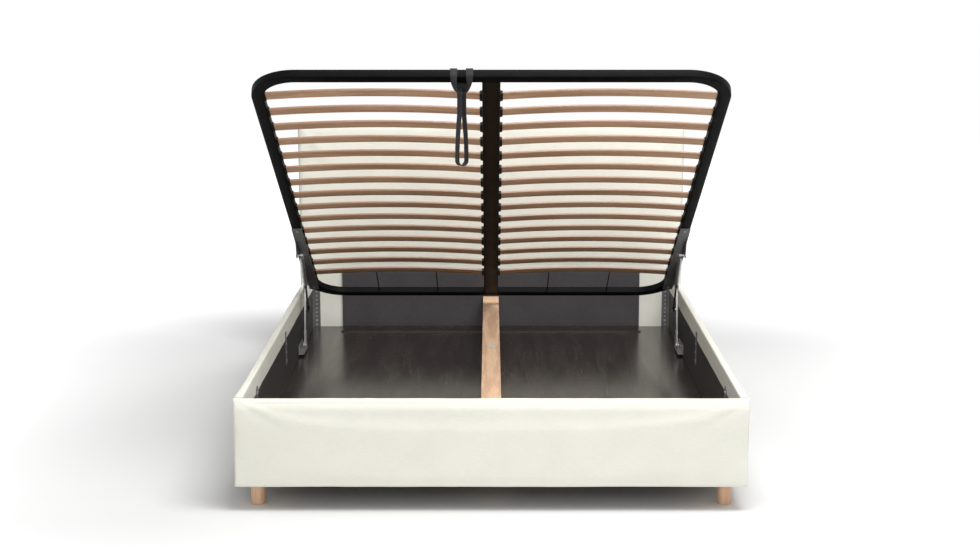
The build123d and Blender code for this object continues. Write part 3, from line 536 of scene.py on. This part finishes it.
dress(plain_wood, "front_panel_board", "left_rail_board", "right_rail_board", "headboard_frame",
      "headboard_board", "floor_bearers", "corner_blocks", "centre_post")
dress(rail_wood, "centre_rail", "centre_rail_seats")
dress(leg_wood, "legs")
dress(lining_cloth, "side_linings", "front_lining")
dress(back_cloth, "headboard_back")
dress(floor_wood, "left_floor_board", "right_floor_board", "floor_cleats")
dress(frame_coat, "stay_wires")
dress(plate_coat, "left_lift_plate", "right_lift_plate")
dress(bracket_zinc, "left_lift_bracket", "right_lift_bracket")
dress(post_coat, "corner_posts", "rest_hooks", "mid_strips", "front_corner_brackets")
dress(zinc, "tube_sleeves", "leg_bolts", "lower_pivot_pins", "lift_plate_pins", "strut_lower_studs",
      "rear_link_top_pins", "left_front_link", "right_front_link", "left_rear_link", "right_rear_link")
dress(cylinder_steel, "left_gas_cylinder", "right_gas_cylinder")
dress(rod_steel, "left_gas_rod", "right_gas_rod")
dress(foot_plastic, "centre_feet")
dress(felt_cloth, "centre_pad")


# --------------------mesh helpers


def linked(name, data):
    """A new object in the scene."""
    piece = bpy.data.objects.new(name, data)
    bpy.context.scene.collection.objects.link(piece)
    return piece


def applied(piece):
    """The mesh that a piece's modifiers make. The piece itself goes."""
    made = bpy.data.meshes.new_from_object(piece.evaluated_get(bpy.context.evaluated_depsgraph_get()))
    bpy.data.objects.remove(piece)
    return made


def kept(shell, mesh):
    """A mesh with what an editing shell holds."""
    shell.to_mesh(mesh)
    shell.free()
    return mesh


def cleaned(mesh):
    """The mesh with doubled points merged and its faces turned outwards."""
    shell = bmesh.new()
    shell.from_mesh(mesh)
    bmesh.ops.remove_doubles(shell, verts=shell.verts, dist=merge_distance)
    bmesh.ops.recalc_face_normals(shell, faces=shell.faces)
    return kept(shell, mesh)


def mesh_of(name, points, faces=()):
    """A mesh of points and faces."""
    mesh = bpy.data.meshes.new(name)
    mesh.from_pydata([tuple(p) for p in points], [], faces)
    return mesh


def box_shell(low, high):
    """An editing shell of a plain box."""
    shell = bmesh.new()
    bmesh.ops.create_cube(shell, size=1.0)
    bmesh.ops.scale(shell, vec=high - low, verts=shell.verts)
    bmesh.ops.translate(shell, vec=(low + high) / 2, verts=shell.verts)
    return shell


def long_edges(shell, axis, length):
    """The edges that are longer than a length along an axis."""
    return [e for e in shell.edges if abs(e.verts[0].co[axis] - e.verts[1].co[axis]) > length]


def object_of(name, mesh, material, smooth_angle=50):
    """A finished piece at the origin, with soft shading except at its sharp edges."""
    mesh.materials.clear()
    mesh.materials.append(material)
    mesh.shade_smooth()
    mesh.set_sharp_from_angle(angle=radians(smooth_angle))
    return linked(name, mesh)


def stand_in(piece, body, slot, *hidden, fill=None):
    """Puts a finished piece on a body, in place of CAD nodes. Its slot is not used."""
    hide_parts(*hidden)
    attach(piece, body)


# --------------------padded boards


def arc(centre, radius, start, end, steps):
    """Points of an arc, in degrees."""
    turns = [radians(start + (end - start) * index / steps) for index in range(steps + 1)]
    return [Vector((centre[0] + radius * cos(turn), centre[1] + radius * sin(turn))) for turn in turns]


def board_section(thickness, board_inner, low, high, band, top):
    """Outline of a padded board: depth from its face, and height. The face rolls back near its top."""
    roll, setback, top_radius, inner_radius = top
    roll_low = high - roll
    face_low = Vector((0.0, low + hem_radius)).y
    rise = roll_low - face_low
    steps = int(rise / skin_step)
    points = arc((hem_radius, low + hem_radius), hem_radius, 270, 180, turn_steps)
    points += [Vector((0.0, face_low + rise * index / steps)) for index in range(1, steps)]
    for share in (index / roll_steps for index in range(roll_steps)):
        points.append(Vector((setback * share * share, roll_low + (roll - top_radius) * share)))
    inner_high = high - inner_radius
    points += arc((setback + top_radius, high - top_radius), top_radius, 180, 90, top_steps)
    points += arc((thickness - inner_radius, inner_high), inner_radius, 90, 0, turn_steps)
    inner_steps = int((inner_high - band) / skin_step)
    for index in range(1, inner_steps + 1):
        points.append(Vector((thickness, inner_high - (inner_high - band) * index / inner_steps)))
    for index in range(steps + 1):
        points.append(Vector((board_inner, band - (band - low) * index / steps)))
    for share in (index / base_steps for index in range(1, base_steps)):
        points.append(Vector((board_inner + (hem_radius - board_inner) * share, low)))
    return points


def drawn_back(section, amount):
    """The outline with its face drawn back, as at a rounded end. Its top corner stays out, as a small ear."""
    depth = max(p.x for p in section)
    top = max(p.y for p in section)
    found = []
    for point in section:
        ear = min(1.0, (top - point.y) / ear_height)
        back = amount * (ear_drawn + (1 - ear_drawn) * ear)
        found.append(Vector((back + point.x * (depth - back) / depth, point.y)))
    return found


def board_form(name, section, start, end, place, rounded):
    """A padded board swept from start to end, its ends rounded where they show."""
    margin = end_radius if rounded else 0.0
    first = start + margin
    last = end - margin
    count = int((last - first) / skin_step)
    stations = [(first + (last - first) * index / count, 0.0) for index in range(count + 1)]
    if rounded:
        turns = [radians(90 * index / end_steps) for index in range(end_steps)]
        bends = [(end_radius * (1 - cos(turn)), end_radius * (1 - sin(turn))) for turn in turns]
        stations = [(start + inward, back) for inward, back in bends] + stations
        stations += [(end - inward, back) for inward, back in reversed(bends)]
    points = []
    for along, back in stations:
        outline = drawn_back(section, back) if back else section
        points += [place(p.x, along, p.y) for p in outline]
    size = len(section)
    faces = []
    for row in range(0, len(points) - size, size):
        for index in range(size):
            a = row + index
            b = row + (index + 1) % size
            faces.append((a, b, b + size, a + size))
    faces += [tuple(range(size)), tuple(range(len(points) - size, len(points)))]
    return cleaned(mesh_of(name, points, faces))


def settled(mesh, held, share=0.3, cap=0.003):
    """Lets the cloth swell and come to rest over its foam. The held points stay where they are."""
    scene = bpy.context.scene
    piece = linked("settling", mesh)
    before = [v.co.copy() for v in mesh.vertices]
    group = piece.vertex_groups.new(name="held")
    for index, point in enumerate(before):
        group.add([index], 1.0 if held(point) else 0.0, "REPLACE")
    modifier = piece.modifiers.new("settle", "CLOTH")
    for key, value in cloth_rules.items():
        setattr(modifier.settings, key, value)
    modifier.settings.effector_weights.gravity = 0
    modifier.point_cache.frame_start = 1
    modifier.point_cache.frame_end = settle_frames
    for frame_number in range(1, settle_frames + 1):
        scene.frame_set(frame_number)
    rested = piece.evaluated_get(bpy.context.evaluated_depsgraph_get()).to_mesh()
    after = [v.co.copy() for v in rested.vertices]
    bpy.data.objects.remove(piece)
    scene.frame_set(1)
    for vert, start, end in zip(mesh.vertices, before, after):
        step = (end - start) * share
        if step.length > cap:
            step = step.normalized() * cap
        vert.co = start + step
    mesh.update()


def rippled(mesh, low, high, margin, depth=1.0):
    """Broad unevenness and small dimples of cloth over foam, kept inside its box and a margin."""
    moved = []
    for vert in mesh.vertices:
        broad = noise.noise(vert.co / ripple_size)
        small = noise.noise(vert.co / dimple_size)
        moved.append(vert.co + vert.normal * depth * (broad * ripple_depth + small * dimple_depth))
    for vert, target in zip(mesh.vertices, moved):
        vert.co = Vector(min(max(target[i], low[i] - margin), high[i] + margin) for i in range(3))
    mesh.update()


def padded_board(name, form, low, high, held, *hidden):
    """A cream cover from its form: settled, rippled and in its place."""
    settled(form, held)
    rippled(form, low, high, cover_margin)
    stand_in(object_of(name, form, cream_cloth), "base", "cream_fabric", *hidden, fill=cover_fill)


def padded_boards():
    """The cream covers of the foot board and both side rails."""
    low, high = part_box("front_panel_cover")
    lining_low, lining_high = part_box("front_lining")
    thickness = high.y - low.y
    board_inner = lining_low.y - low.y
    band = lining_high.z
    section = board_section(thickness, board_inner, low.z, high.z - front_sink, band,
                            (front_roll, front_setback, front_top_radius, front_inner_radius))
    form = board_form("front_cover", section, low.x, high.x, lambda d, a, z: (a, low.y + d, z), True)
    padded_board("front_cover", form, low, high,
                 lambda p: p.y > low.y + thickness * front_held_share or p.z < low.z + held_edge,
                 "front_panel_cover", "front_panel_board")
    section = board_section(thickness, board_inner, low.z, high.z, band,
                            (rail_roll, rail_setback, rail_top_radius, rail_inner_radius))
    for side, way in (("left", 1), ("right", -1)):
        low_s, high_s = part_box(side + "_rail_cover")
        face = low_s.x if way > 0 else high_s.x

        def place(depth, along, height, face=face, way=way):
            return (face + way * depth, along, height)

        def held(point, face=face, low_s=low_s, high_s=high_s):
            edge = min(point.y - low_s.y, high_s.y - point.y, point.z - low_s.z)
            return abs(point.x - face) > thickness * rail_held_share or edge < held_edge

        form = board_form(side + "_cover", section, low_s.y, high_s.y, place, False)
        padded_board(side + "_cover", form, low_s, high_s, held, side + "_rail_cover", side + "_rail_board")


def headboard():
    """The padded headboard: a crowned face, soft edges and a dark back set into its rim."""
    low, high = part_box("headboard_cover")
    back_low, back_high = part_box("headboard_back")
    centre = (low + high) / 2
    shell = box_shell(low, high)
    front_edges = [e for e in shell.edges if all(v.co.y < centre.y for v in e.verts)]
    deep_edges = [e for e in long_edges(shell, 1, (high.y - low.y) / 2)
                  if min(v.co.z for v in e.verts) > centre.z]
    bmesh.ops.bevel(shell, geom=front_edges + deep_edges, offset=headboard_edge,
                    segments=headboard_edge_parts, profile=0.5, affect="EDGES")
    back = [f for f in shell.faces if f.normal.y > 0.9]
    bmesh.ops.inset_region(shell, faces=back, thickness=high.x - back_high.x, depth=0.0)
    sunk = back_low.y - back_clear - high.y
    bmesh.ops.translate(shell, vec=(0, sunk, 0), verts=list({v for f in back for v in f.verts}))
    piece = linked("headboard_cushion", kept(shell, bpy.data.meshes.new("headboard_form")))
    remesh = piece.modifiers.new("even skin", "REMESH")
    remesh.mode = "VOXEL"
    remesh.voxel_size = headboard_step
    soften = piece.modifiers.new("soft edges", "SMOOTH")
    soften.iterations = headboard_softening
    soften.factor = 0.5
    made = applied(piece)
    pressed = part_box("rear_panel")[1].z + press_margin
    settled(made, lambda p: p.y > centre.y or p.z < pressed, *headboard_settling)
    rippled(made, low, high, headboard_margin, headboard_ripple)
    cushion = object_of("headboard_cushion", made, cream_cloth, headboard_smooth_angle)
    stand_in(cushion, "base", "cream_fabric", "headboard_cover", "headboard_board", "headboard_frame",
             fill=headboard_fill)


def rear_panel():
    """The dark cloth panel behind the box, with its folded edges."""
    low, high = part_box("rear_panel")
    shell = box_shell(low, high)
    bmesh.ops.bevel(shell, geom=shell.edges[:], offset=panel_edge, segments=3, profile=0.5, affect="EDGES")
    for axis, cuts in ((0, panel_columns), (2, panel_rows)):
        edges = long_edges(shell, axis, (high[axis] - low[axis]) / 2)
        bmesh.ops.subdivide_edges(shell, edges=edges, cuts=cuts, use_grid_fill=True)
    mesh = kept(shell, bpy.data.meshes.new("rear_cloth_panel"))
    rippled(mesh, low, high, 0.0, panel_ripple)
    stand_in(object_of("rear_cloth_panel", mesh, panel_cloth), "base", "grey_cloth", "rear_panel", fill=1.0)


# --------------------geometry node pieces

socket_kinds = {"Middle": "NodeSocketVector", "Place": "NodeSocketVector", "Turn": "NodeSocketRotation",
                "Finish": "NodeSocketMaterial"}


def growth(name, *labels):
    """A geometry node tree with named inputs. Each label is a number unless socket_kinds has it."""
    tree = bpy.data.node_groups.new(name, "GeometryNodeTree")
    for way in ("INPUT", "OUTPUT"):
        tree.interface.new_socket("Geometry", in_out=way, socket_type="NodeSocketGeometry")
    for label in (*labels, "Place", "Turn", "Finish"):
        kind = socket_kinds.get(label, "NodeSocketFloat")
        tree.interface.new_socket(label, in_out="INPUT", socket_type=kind)
    return tree, put(tree, "NodeGroupInput").outputs


def grown(name, tree, source, material, slot, hidden, values):
    """Runs a tree on a source mesh and keeps the result as a plain piece of the raised base."""
    seed = linked(name + "_seed", source)
    modifier = seed.modifiers.new(name, "NODES")
    modifier.node_group = tree
    sockets = {s.name: s.identifier for s in tree.interface.items_tree if s.in_out == "INPUT"}
    common = {"Place": base_place, "Turn": base_turn, "Finish": material}
    for label, value in {**values, **common}.items():
        modifier[sockets[label]] = value
    seed.update_tag()
    bpy.context.view_layer.update()
    made = cleaned(applied(seed))
    made.name = name
    stand_in(object_of(name, made, material, bar_smooth_angle), "slat_frame", slot, *hidden)


def points_mesh(name, points, spans=()):
    """Loose points, each with a span where it has one."""
    mesh = mesh_of(name, points)
    if spans:
        for item, span in zip(mesh.attributes.new("span", "FLOAT", "POINT").data, spans):
            item.value = span
    return mesh


def rounded_bar_profile(tree, width, depth, radius):
    """A rounded rectangle to sweep along a path."""
    outline = put(tree, "GeometryNodeCurvePrimitiveQuadrilateral", [("Width", width), ("Height", depth)])
    return filleted(tree, outline.outputs[0], profile_stations, radius)


def filleted(tree, curve, count, radius):
    """A curve with round corners."""
    links = [("Curve", curve), ("Count", count), ("Radius", radius)]
    return put(tree, "GeometryNodeFilletCurve", links, mode="POLY").outputs[0]


def line(tree, start, end):
    """A straight curve."""
    return put(tree, "GeometryNodeCurvePrimitiveLine", [("Start", start), ("End", end)]).outputs[0]


def swept(tree, curve, profile, caps=True):
    """A profile swept along a curve and kept upright."""
    upright = put(tree, "GeometryNodeSetCurveNormal", [("Curve", curve)], mode="Z_UP").outputs[0]
    links = [("Curve", upright), ("Profile Curve", profile), ("Fill Caps", caps)]
    return put(tree, "GeometryNodeCurveToMesh", links).outputs[0]


def on_points(tree, given, form, spanned):
    """A form on each point, stretched along X by the point's span where it has one."""
    links = [("Points", given["Geometry"]), ("Instance", form)]
    if spanned:
        span = put(tree, "GeometryNodeInputNamedAttribute", [("Name", "span")], data_type="FLOAT")
        size = put(tree, "ShaderNodeCombineXYZ", [("X", span.outputs["Attribute"]), ("Y", 1.0), ("Z", 1.0)])
        links.append(("Scale", size.outputs[0]))
    return put(tree, "GeometryNodeInstanceOnPoints", links).outputs[0]


def finish_tree(tree, geometry, given):
    """Moves a flat form to the raised base, realizes it and names its material."""
    links = [("Geometry", geometry), ("Translation", given["Place"]), ("Rotation", given["Turn"])]
    placed = put(tree, "GeometryNodeTransform", links).outputs[0]
    real = put(tree, "GeometryNodeRealizeInstances", [("Geometry", placed)]).outputs[0]
    named = put(tree, "GeometryNodeSetMaterial", [("Geometry", real), ("Material", given["Finish"])])
    put(tree, "NodeGroupOutput", [(0, named.outputs[0])])
    return tree


def slat_tree():
    """Bowed slats with rounded edges, one on each point, as long as the point says."""
    tree, given = growth("bowed slats", "Width", "Thickness", "Bow", "Edge")
    path = put(tree, "GeometryNodeResampleCurve", [("Curve", line(tree, (-0.5, 0, 0), (0.5, 0, 0))),
                                                   ("Count", slat_stations)])
    across = split(tree, put(tree, "GeometryNodeInputPosition").outputs[0])["X"]
    fall = maths(tree, "MULTIPLY", maths(tree, "MULTIPLY", across, across), 4.0)
    rise = maths(tree, "MULTIPLY", maths(tree, "SUBTRACT", 1.0, fall), given["Bow"])
    lift = put(tree, "ShaderNodeCombineXYZ", [("Z", rise)])
    bowed = put(tree, "GeometryNodeSetPosition", [("Geometry", path.outputs[0]), ("Offset", lift.outputs[0])])
    profile = rounded_bar_profile(tree, given["Width"], given["Thickness"], given["Edge"])
    slat = swept(tree, bowed.outputs[0], profile)
    return finish_tree(tree, on_points(tree, given, slat, True), given)


def slats():
    """Fifteen slats on each side, where the CAD slats lie."""
    tree = slat_tree()
    for side in ("left", "right"):
        boxes = islands(side + "_slats", flat)
        points = [Vector(((a.x + b.x) / 2, (a.y + b.y) / 2, a.z + slat_thickness / 2)) for a, b in boxes]
        source = points_mesh(side + "_slat_points", points, [b.x - a.x for a, b in boxes])
        grown(side + "_beech_slats", tree, source, slat_wood, "slat_beech", [side + "_slats"],
              {"Width": slat_width, "Thickness": slat_thickness, "Bow": slat_bow, "Edge": slat_edge})


def tube_tree():
    """A closed tube frame with rounded corners and a rounded section."""
    tree, given = growth("tube frame", "Width", "Length", "Corner", "Section Width", "Section Depth", "Edge",
                         "Middle")
    outline = put(tree, "GeometryNodeCurvePrimitiveQuadrilateral", [("Width", given["Width"]),
                                                                    ("Height", given["Length"])])
    bent = filleted(tree, outline.outputs[0], corner_stations, given["Corner"])
    profile = rounded_bar_profile(tree, given["Section Width"], given["Section Depth"], given["Edge"])
    links = [("Geometry", swept(tree, bent, profile, False)), ("Translation", given["Middle"])]
    return finish_tree(tree, put(tree, "GeometryNodeTransform", links).outputs[0], given)


def tube_frame():
    """The black tube loop, as one bent form."""
    low, high = box_in("foot_tube", flat)
    head_high = box_in("head_tube", flat)[1]
    beam_low = box_in("centre_beam", flat)[0]
    section_width = beam_low.y - low.y
    middle = ((low.x + high.x) / 2, (low.y + head_high.y) / 2, (low.z + high.z) / 2)
    grown("tube_frame", tube_tree(), points_mesh("tube_seed", [middle]), frame_coat, "black_frame",
          ["foot_tube", "head_tube", "side_tubes"],
          {"Width": high.x - low.x - section_width, "Length": head_high.y - low.y - section_width,
           "Corner": corner_radius - section_width / 2, "Section Width": section_width,
           "Section Depth": high.z - low.z, "Edge": tube_edge, "Middle": middle})


def bar_tree():
    """A straight bar with a rounded section on each point, along Y."""
    tree, given = growth("rounded bar", "Width", "Depth", "Length", "Edge")
    ends = []
    for way in (-0.5, 0.5):
        reach = maths(tree, "MULTIPLY", given["Length"], way)
        ends.append(put(tree, "ShaderNodeCombineXYZ", [("Y", reach)]).outputs[0])
    profile = rounded_bar_profile(tree, given["Width"], given["Depth"], given["Edge"])
    bar = swept(tree, line(tree, *ends), profile)
    return finish_tree(tree, on_points(tree, given, bar, False), given)


def centre_beam():
    """The brown beam down the middle of the base."""
    low, high = box_in("centre_beam", flat)
    grown("centre_beam_tube", bar_tree(), points_mesh("beam_seed", [(low + high) / 2]), beam_coat, "brown_beam",
          ["centre_beam"], {"Width": high.x - low.x, "Depth": high.z - low.z, "Length": high.y - low.y,
                            "Edge": beam_edge})


def socket_tree():
    """A moulded slat socket on each point: a block with a small lip round its mouth."""
    tree, given = growth("slat sockets", "Width", "Depth", "Lip", "Edge")
    block = rounded_bar_profile(tree, given["Width"], given["Depth"], given["Edge"])
    wider = [maths(tree, "ADD", given[label], given["Lip"]) for label in ("Width", "Depth")]
    lip = rounded_bar_profile(tree, *wider, given["Edge"])
    both = put(tree, "GeometryNodeJoinGeometry")
    for profile, end in ((block, 0.5), (lip, socket_lip_end)):
        tree.links.new(swept(tree, line(tree, (-0.5, 0, 0), (end, 0, 0)), profile), both.inputs[0])
    return finish_tree(tree, on_points(tree, given, both.outputs[0], True), given)


def sockets():
    """Moulded slat sockets where the CAD sockets stand, each with its mouth towards its slat."""
    places = []
    spans = []
    for low, high in islands("slat_caps", flat):
        middle = (low + high) / 2
        outward = 1 if (abs(middle.x) < socket_inner_reach) == (middle.x > 0) else -1
        places.append(middle)
        spans.append((high.x - low.x) * outward)
    grown("slat_sockets", socket_tree(), points_mesh("socket_points", places, spans), cap_plastic,
          "black_plastic", ["slat_caps"],
          {"Width": socket_width, "Depth": socket_depth, "Lip": 2 * socket_lip, "Edge": socket_edge})


# --------------------webbing


def ribbon(stations):
    """A flat band of webbing. Each station is its middle, and half its width as a vector."""
    path = smooth_path(stations)
    points = []
    for middle, half in path:
        points += [middle - half, middle, middle + half]
    faces = []
    for row in range(len(path) - 1):
        for a in (row * 3, row * 3 + 1):
            faces.append((a, a + 1, a + 4, a + 3))
    piece = linked("band", mesh_of("band", points, faces))
    wall = piece.modifiers.new("thickness", "SOLIDIFY")
    wall.thickness = web_thickness
    wall.offset = 0.0
    edge = piece.modifiers.new("soft edge", "BEVEL")
    edge.width = web_thickness * web_edge_share
    edge.segments = 2
    return applied(piece)


def smooth_path(stations):
    """A finer band path through a few stations."""
    found = []
    last = len(stations) - 1
    for index in range(last):
        p0, p1, p2, p3 = (stations[min(max(index + step, 0), last)][0] for step in (-1, 0, 1, 2))
        for part in range(web_run_parts):
            t = part / web_run_parts
            where = 0.5 * (2 * p1 + (p2 - p0) * t + (2 * p0 - 5 * p1 + 4 * p2 - p3) * t * t
                           + (3 * p1 - p0 - 3 * p2 + p3) * t ** 3)
            found.append((where, stations[index][1].lerp(stations[index + 1][1], t)))
    found.append(stations[-1])
    return found


def hitch_band(way, x):
    """One band over the foot tube, from the rear of the neck round to its front."""
    low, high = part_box("strap_loop")
    middle = (low + high) / 2
    neck = Vector((middle.x, middle.y, high.z)) + strap_across * way * neck_spread
    tube_low, tube_high = box_in("foot_tube", flat)
    beam_low = box_in("centre_beam", flat)[0]
    clear = web_gap + web_thickness / 2
    outer = tube_low.y - clear
    inner = beam_low.y + clear
    over = tube_high.z - tube_low.z + clear
    under = -clear
    back = ((inner - 2 * web_turn, under - web_turn), (inner, under + rear_start),
            (inner, over - web_turn), (inner - web_turn, over))
    front = ((outer + web_turn, over), (outer, over - web_turn), (outer, over * front_middle),
             (outer, under + 2 * web_turn))
    turned = Vector((-web_width / 2, 0, 0))
    stations = [(neck + Vector(step), neck_half.lerp(turned, share) * width)
                for step, share, width in neck_stations]
    rise = raised @ Vector((0, inner, under - rise_below))
    point = Vector((neck.x + way * rise_step[0], rise.y + rise_step[1], rise.z + rise_step[2]))
    stations.append((point, turned * rise_width))
    for share, (y, z) in zip(rear_shares, back):
        point = raised @ Vector((x, y, z))
        point.x = neck.x + (x - neck.x) * share
        stations.append((point, turned))
    stations += [(raised @ Vector((x, y, z)), turned) for y, z in front]
    leave = raised @ Vector((x, outer, under + front_leave))
    lean = Vector((0, 0, way * -band_lean))
    for share, sideways, width in front_stations:
        point = leave.lerp(neck, share)
        point.x = leave.x + (neck.x - leave.x) * sideways
        stations.append((point, turned.lerp(neck_half, share) * width + lean))
    stations += [(neck + Vector((0, 0, height)), neck_half) for height in neck_ends]
    return ribbon(stations)


def hanging_loop():
    """The loop: two strands that leave the neck together, open downwards and meet in a bend."""
    low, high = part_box("strap_loop")
    bottom = low.z + web_thickness / 2 + loop_spread
    strand = [(spread, high.z - (high.z - bottom) * share, neck_half.lerp(strap_depth, turned))
              for share, spread, turned in strand_stations]
    path = [(-spread, z, half) for spread, z, half in strand]
    for turn in (radians(degrees) for degrees in range(0, 181, loop_step)):
        path.append((-loop_spread * cos(turn), bottom - loop_spread * sin(turn), strap_depth))
    path += reversed(strand)
    middle = (low + high) / 2
    axis = Vector((middle.x, middle.y, 0))
    return ribbon([(axis + strap_across * spread + Vector((0, 0, z)), half) for spread, z, half in path])


def joined(name, meshes):
    """Several bands as one piece."""
    shell = bmesh.new()
    for mesh in meshes:
        shell.from_mesh(mesh)
    bmesh.ops.recalc_face_normals(shell, faces=shell.faces)
    return object_of(name, kept(shell, bpy.data.meshes.new(name)), web_cloth)


def strap():
    """The pull strap: its hitch round the tube and its hanging loop."""
    low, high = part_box("strap_hitch")
    bands = [hitch_band(-1, low.x + web_width / 2), hitch_band(1, high.x - web_width / 2)]
    stand_in(joined("strap_hitch_webbing", bands), "slat_frame", "webbing", "strap_hitch")
    stand_in(joined("strap_loop_webbing", [hanging_loop()]), "pull_strap", "webbing", "strap_loop")


# --------------------stage


def seen_rays(tree):
    """One for the rays that show a surface: from the camera, or through a reflection or glass."""
    ray = put(tree, "ShaderNodeLightPath").outputs
    seen = maths(tree, "MAXIMUM", ray["Is Camera Ray"], ray["Is Glossy Ray"])
    return maths(tree, "MAXIMUM", seen, ray["Is Transmission Ray"])


def white_world():
    """White surroundings that light the bed less than they show."""
    world = bpy.data.worlds.new("white studio")
    bpy.context.scene.world = world
    world.use_nodes = True
    tree = world.node_tree
    tree.nodes.clear()
    lit, shown = (put(tree, "ShaderNodeBackground", [("Color", white), ("Strength", strength)]).outputs[0]
                  for strength in (world_light, 1.0))
    mix = put(tree, "ShaderNodeMixShader", [(0, seen_rays(tree)), (1, lit), (2, shown)])
    put(tree, "ShaderNodeOutputWorld", [(0, mix.outputs[0])])


def lamp(name, place, target, width, depth, power):
    """A soft rectangular lamp aimed at a point."""
    data = bpy.data.lights.new(name, "AREA")
    data.shape = "RECTANGLE"
    data.size = width
    data.size_y = depth
    data.energy = power
    light = linked(name, data)
    light.location = place
    light.rotation_euler = (Vector(place) - Vector(target)).to_track_quat("Z", "Y").to_euler()


def floor_paint():
    """White floor that stays white away from the bed and keeps its shadow. Its glow fades out towards the bed,
    which paints shade round it.
    """
    paint = bpy.data.materials.new("white floor")
    paint.use_nodes = True
    tree = paint.node_tree
    shader = tree.nodes["Principled BSDF"]
    for label, value in (("Base Color", floor_grey), ("Roughness", 0.9), ("Specular IOR Level", 0.0),
                         ("Emission Color", white)):
        shader.inputs[label].default_value = value
    parts = split(tree, put(tree, "ShaderNodeTexCoord").outputs["Object"])
    half = (cad_high - cad_low) / 2
    beyond = {}
    for axis, reach in (("X", half.x), ("Y", half.y)):
        outside = maths(tree, "SUBTRACT", maths(tree, "ABSOLUTE", parts[axis]), reach)
        beyond[axis] = maths(tree, "MAXIMUM", outside, 0.0)
    squares = (maths(tree, "POWER", maths(tree, "MULTIPLY", beyond["X"], floor_painted_shade_x_scale), 2.0),
               maths(tree, "POWER", beyond["Y"], 2.0))
    far = maths(tree, "SQRT", maths(tree, "ADD", *squares))
    # Painted shade: the glow rises from nothing at the bed, so the floor near it is darker than the lamps make
    # it.
    fade = put(tree, "ShaderNodeMapRange", [("Value", far), ("From Min", 0.0), ("From Max", floor_painted_shade_reach),
                                            ("To Min", 0.0), ("To Max", floor_glow)],
               interpolation_type="SMOOTHSTEP")
    glow = maths(tree, "MULTIPLY", seen_rays(tree), fade.outputs[0])
    tree.links.new(glow, shader.inputs["Emission Strength"])
    return paint


def studio_floor():
    """The floor under the bed."""
    square = [(-floor_reach, -floor_reach, 0), (floor_reach, -floor_reach, 0), (floor_reach, floor_reach, 0),
              (-floor_reach, floor_reach, 0)]
    floor = linked("studio_floor", mesh_of("studio_floor", square, [(0, 1, 2, 3)]))
    floor.data.materials.append(floor_paint())


def photograph_camera():
    """The camera at the photograph's place and angle."""
    data = bpy.data.cameras.new("photograph")
    data.sensor_width = sensor_millimetres
    data.lens = focal_pixels / image_width * sensor_millimetres
    camera = linked("photograph", data)
    camera.location = (camera_side, cad_low.y - camera_from_front, camera_height)
    camera.rotation_euler = (pi / 2 - camera_pitch, 0, 0)
    bpy.context.scene.camera = camera


padded_boards()
headboard()
rear_panel()
slats()
tube_frame()
centre_beam()
sockets()
strap()

bpy.context.scene.view_settings.view_transform = "Standard"
white_world()
studio_floor()
for settings in lamps:
    lamp(*settings)
photograph_camera()
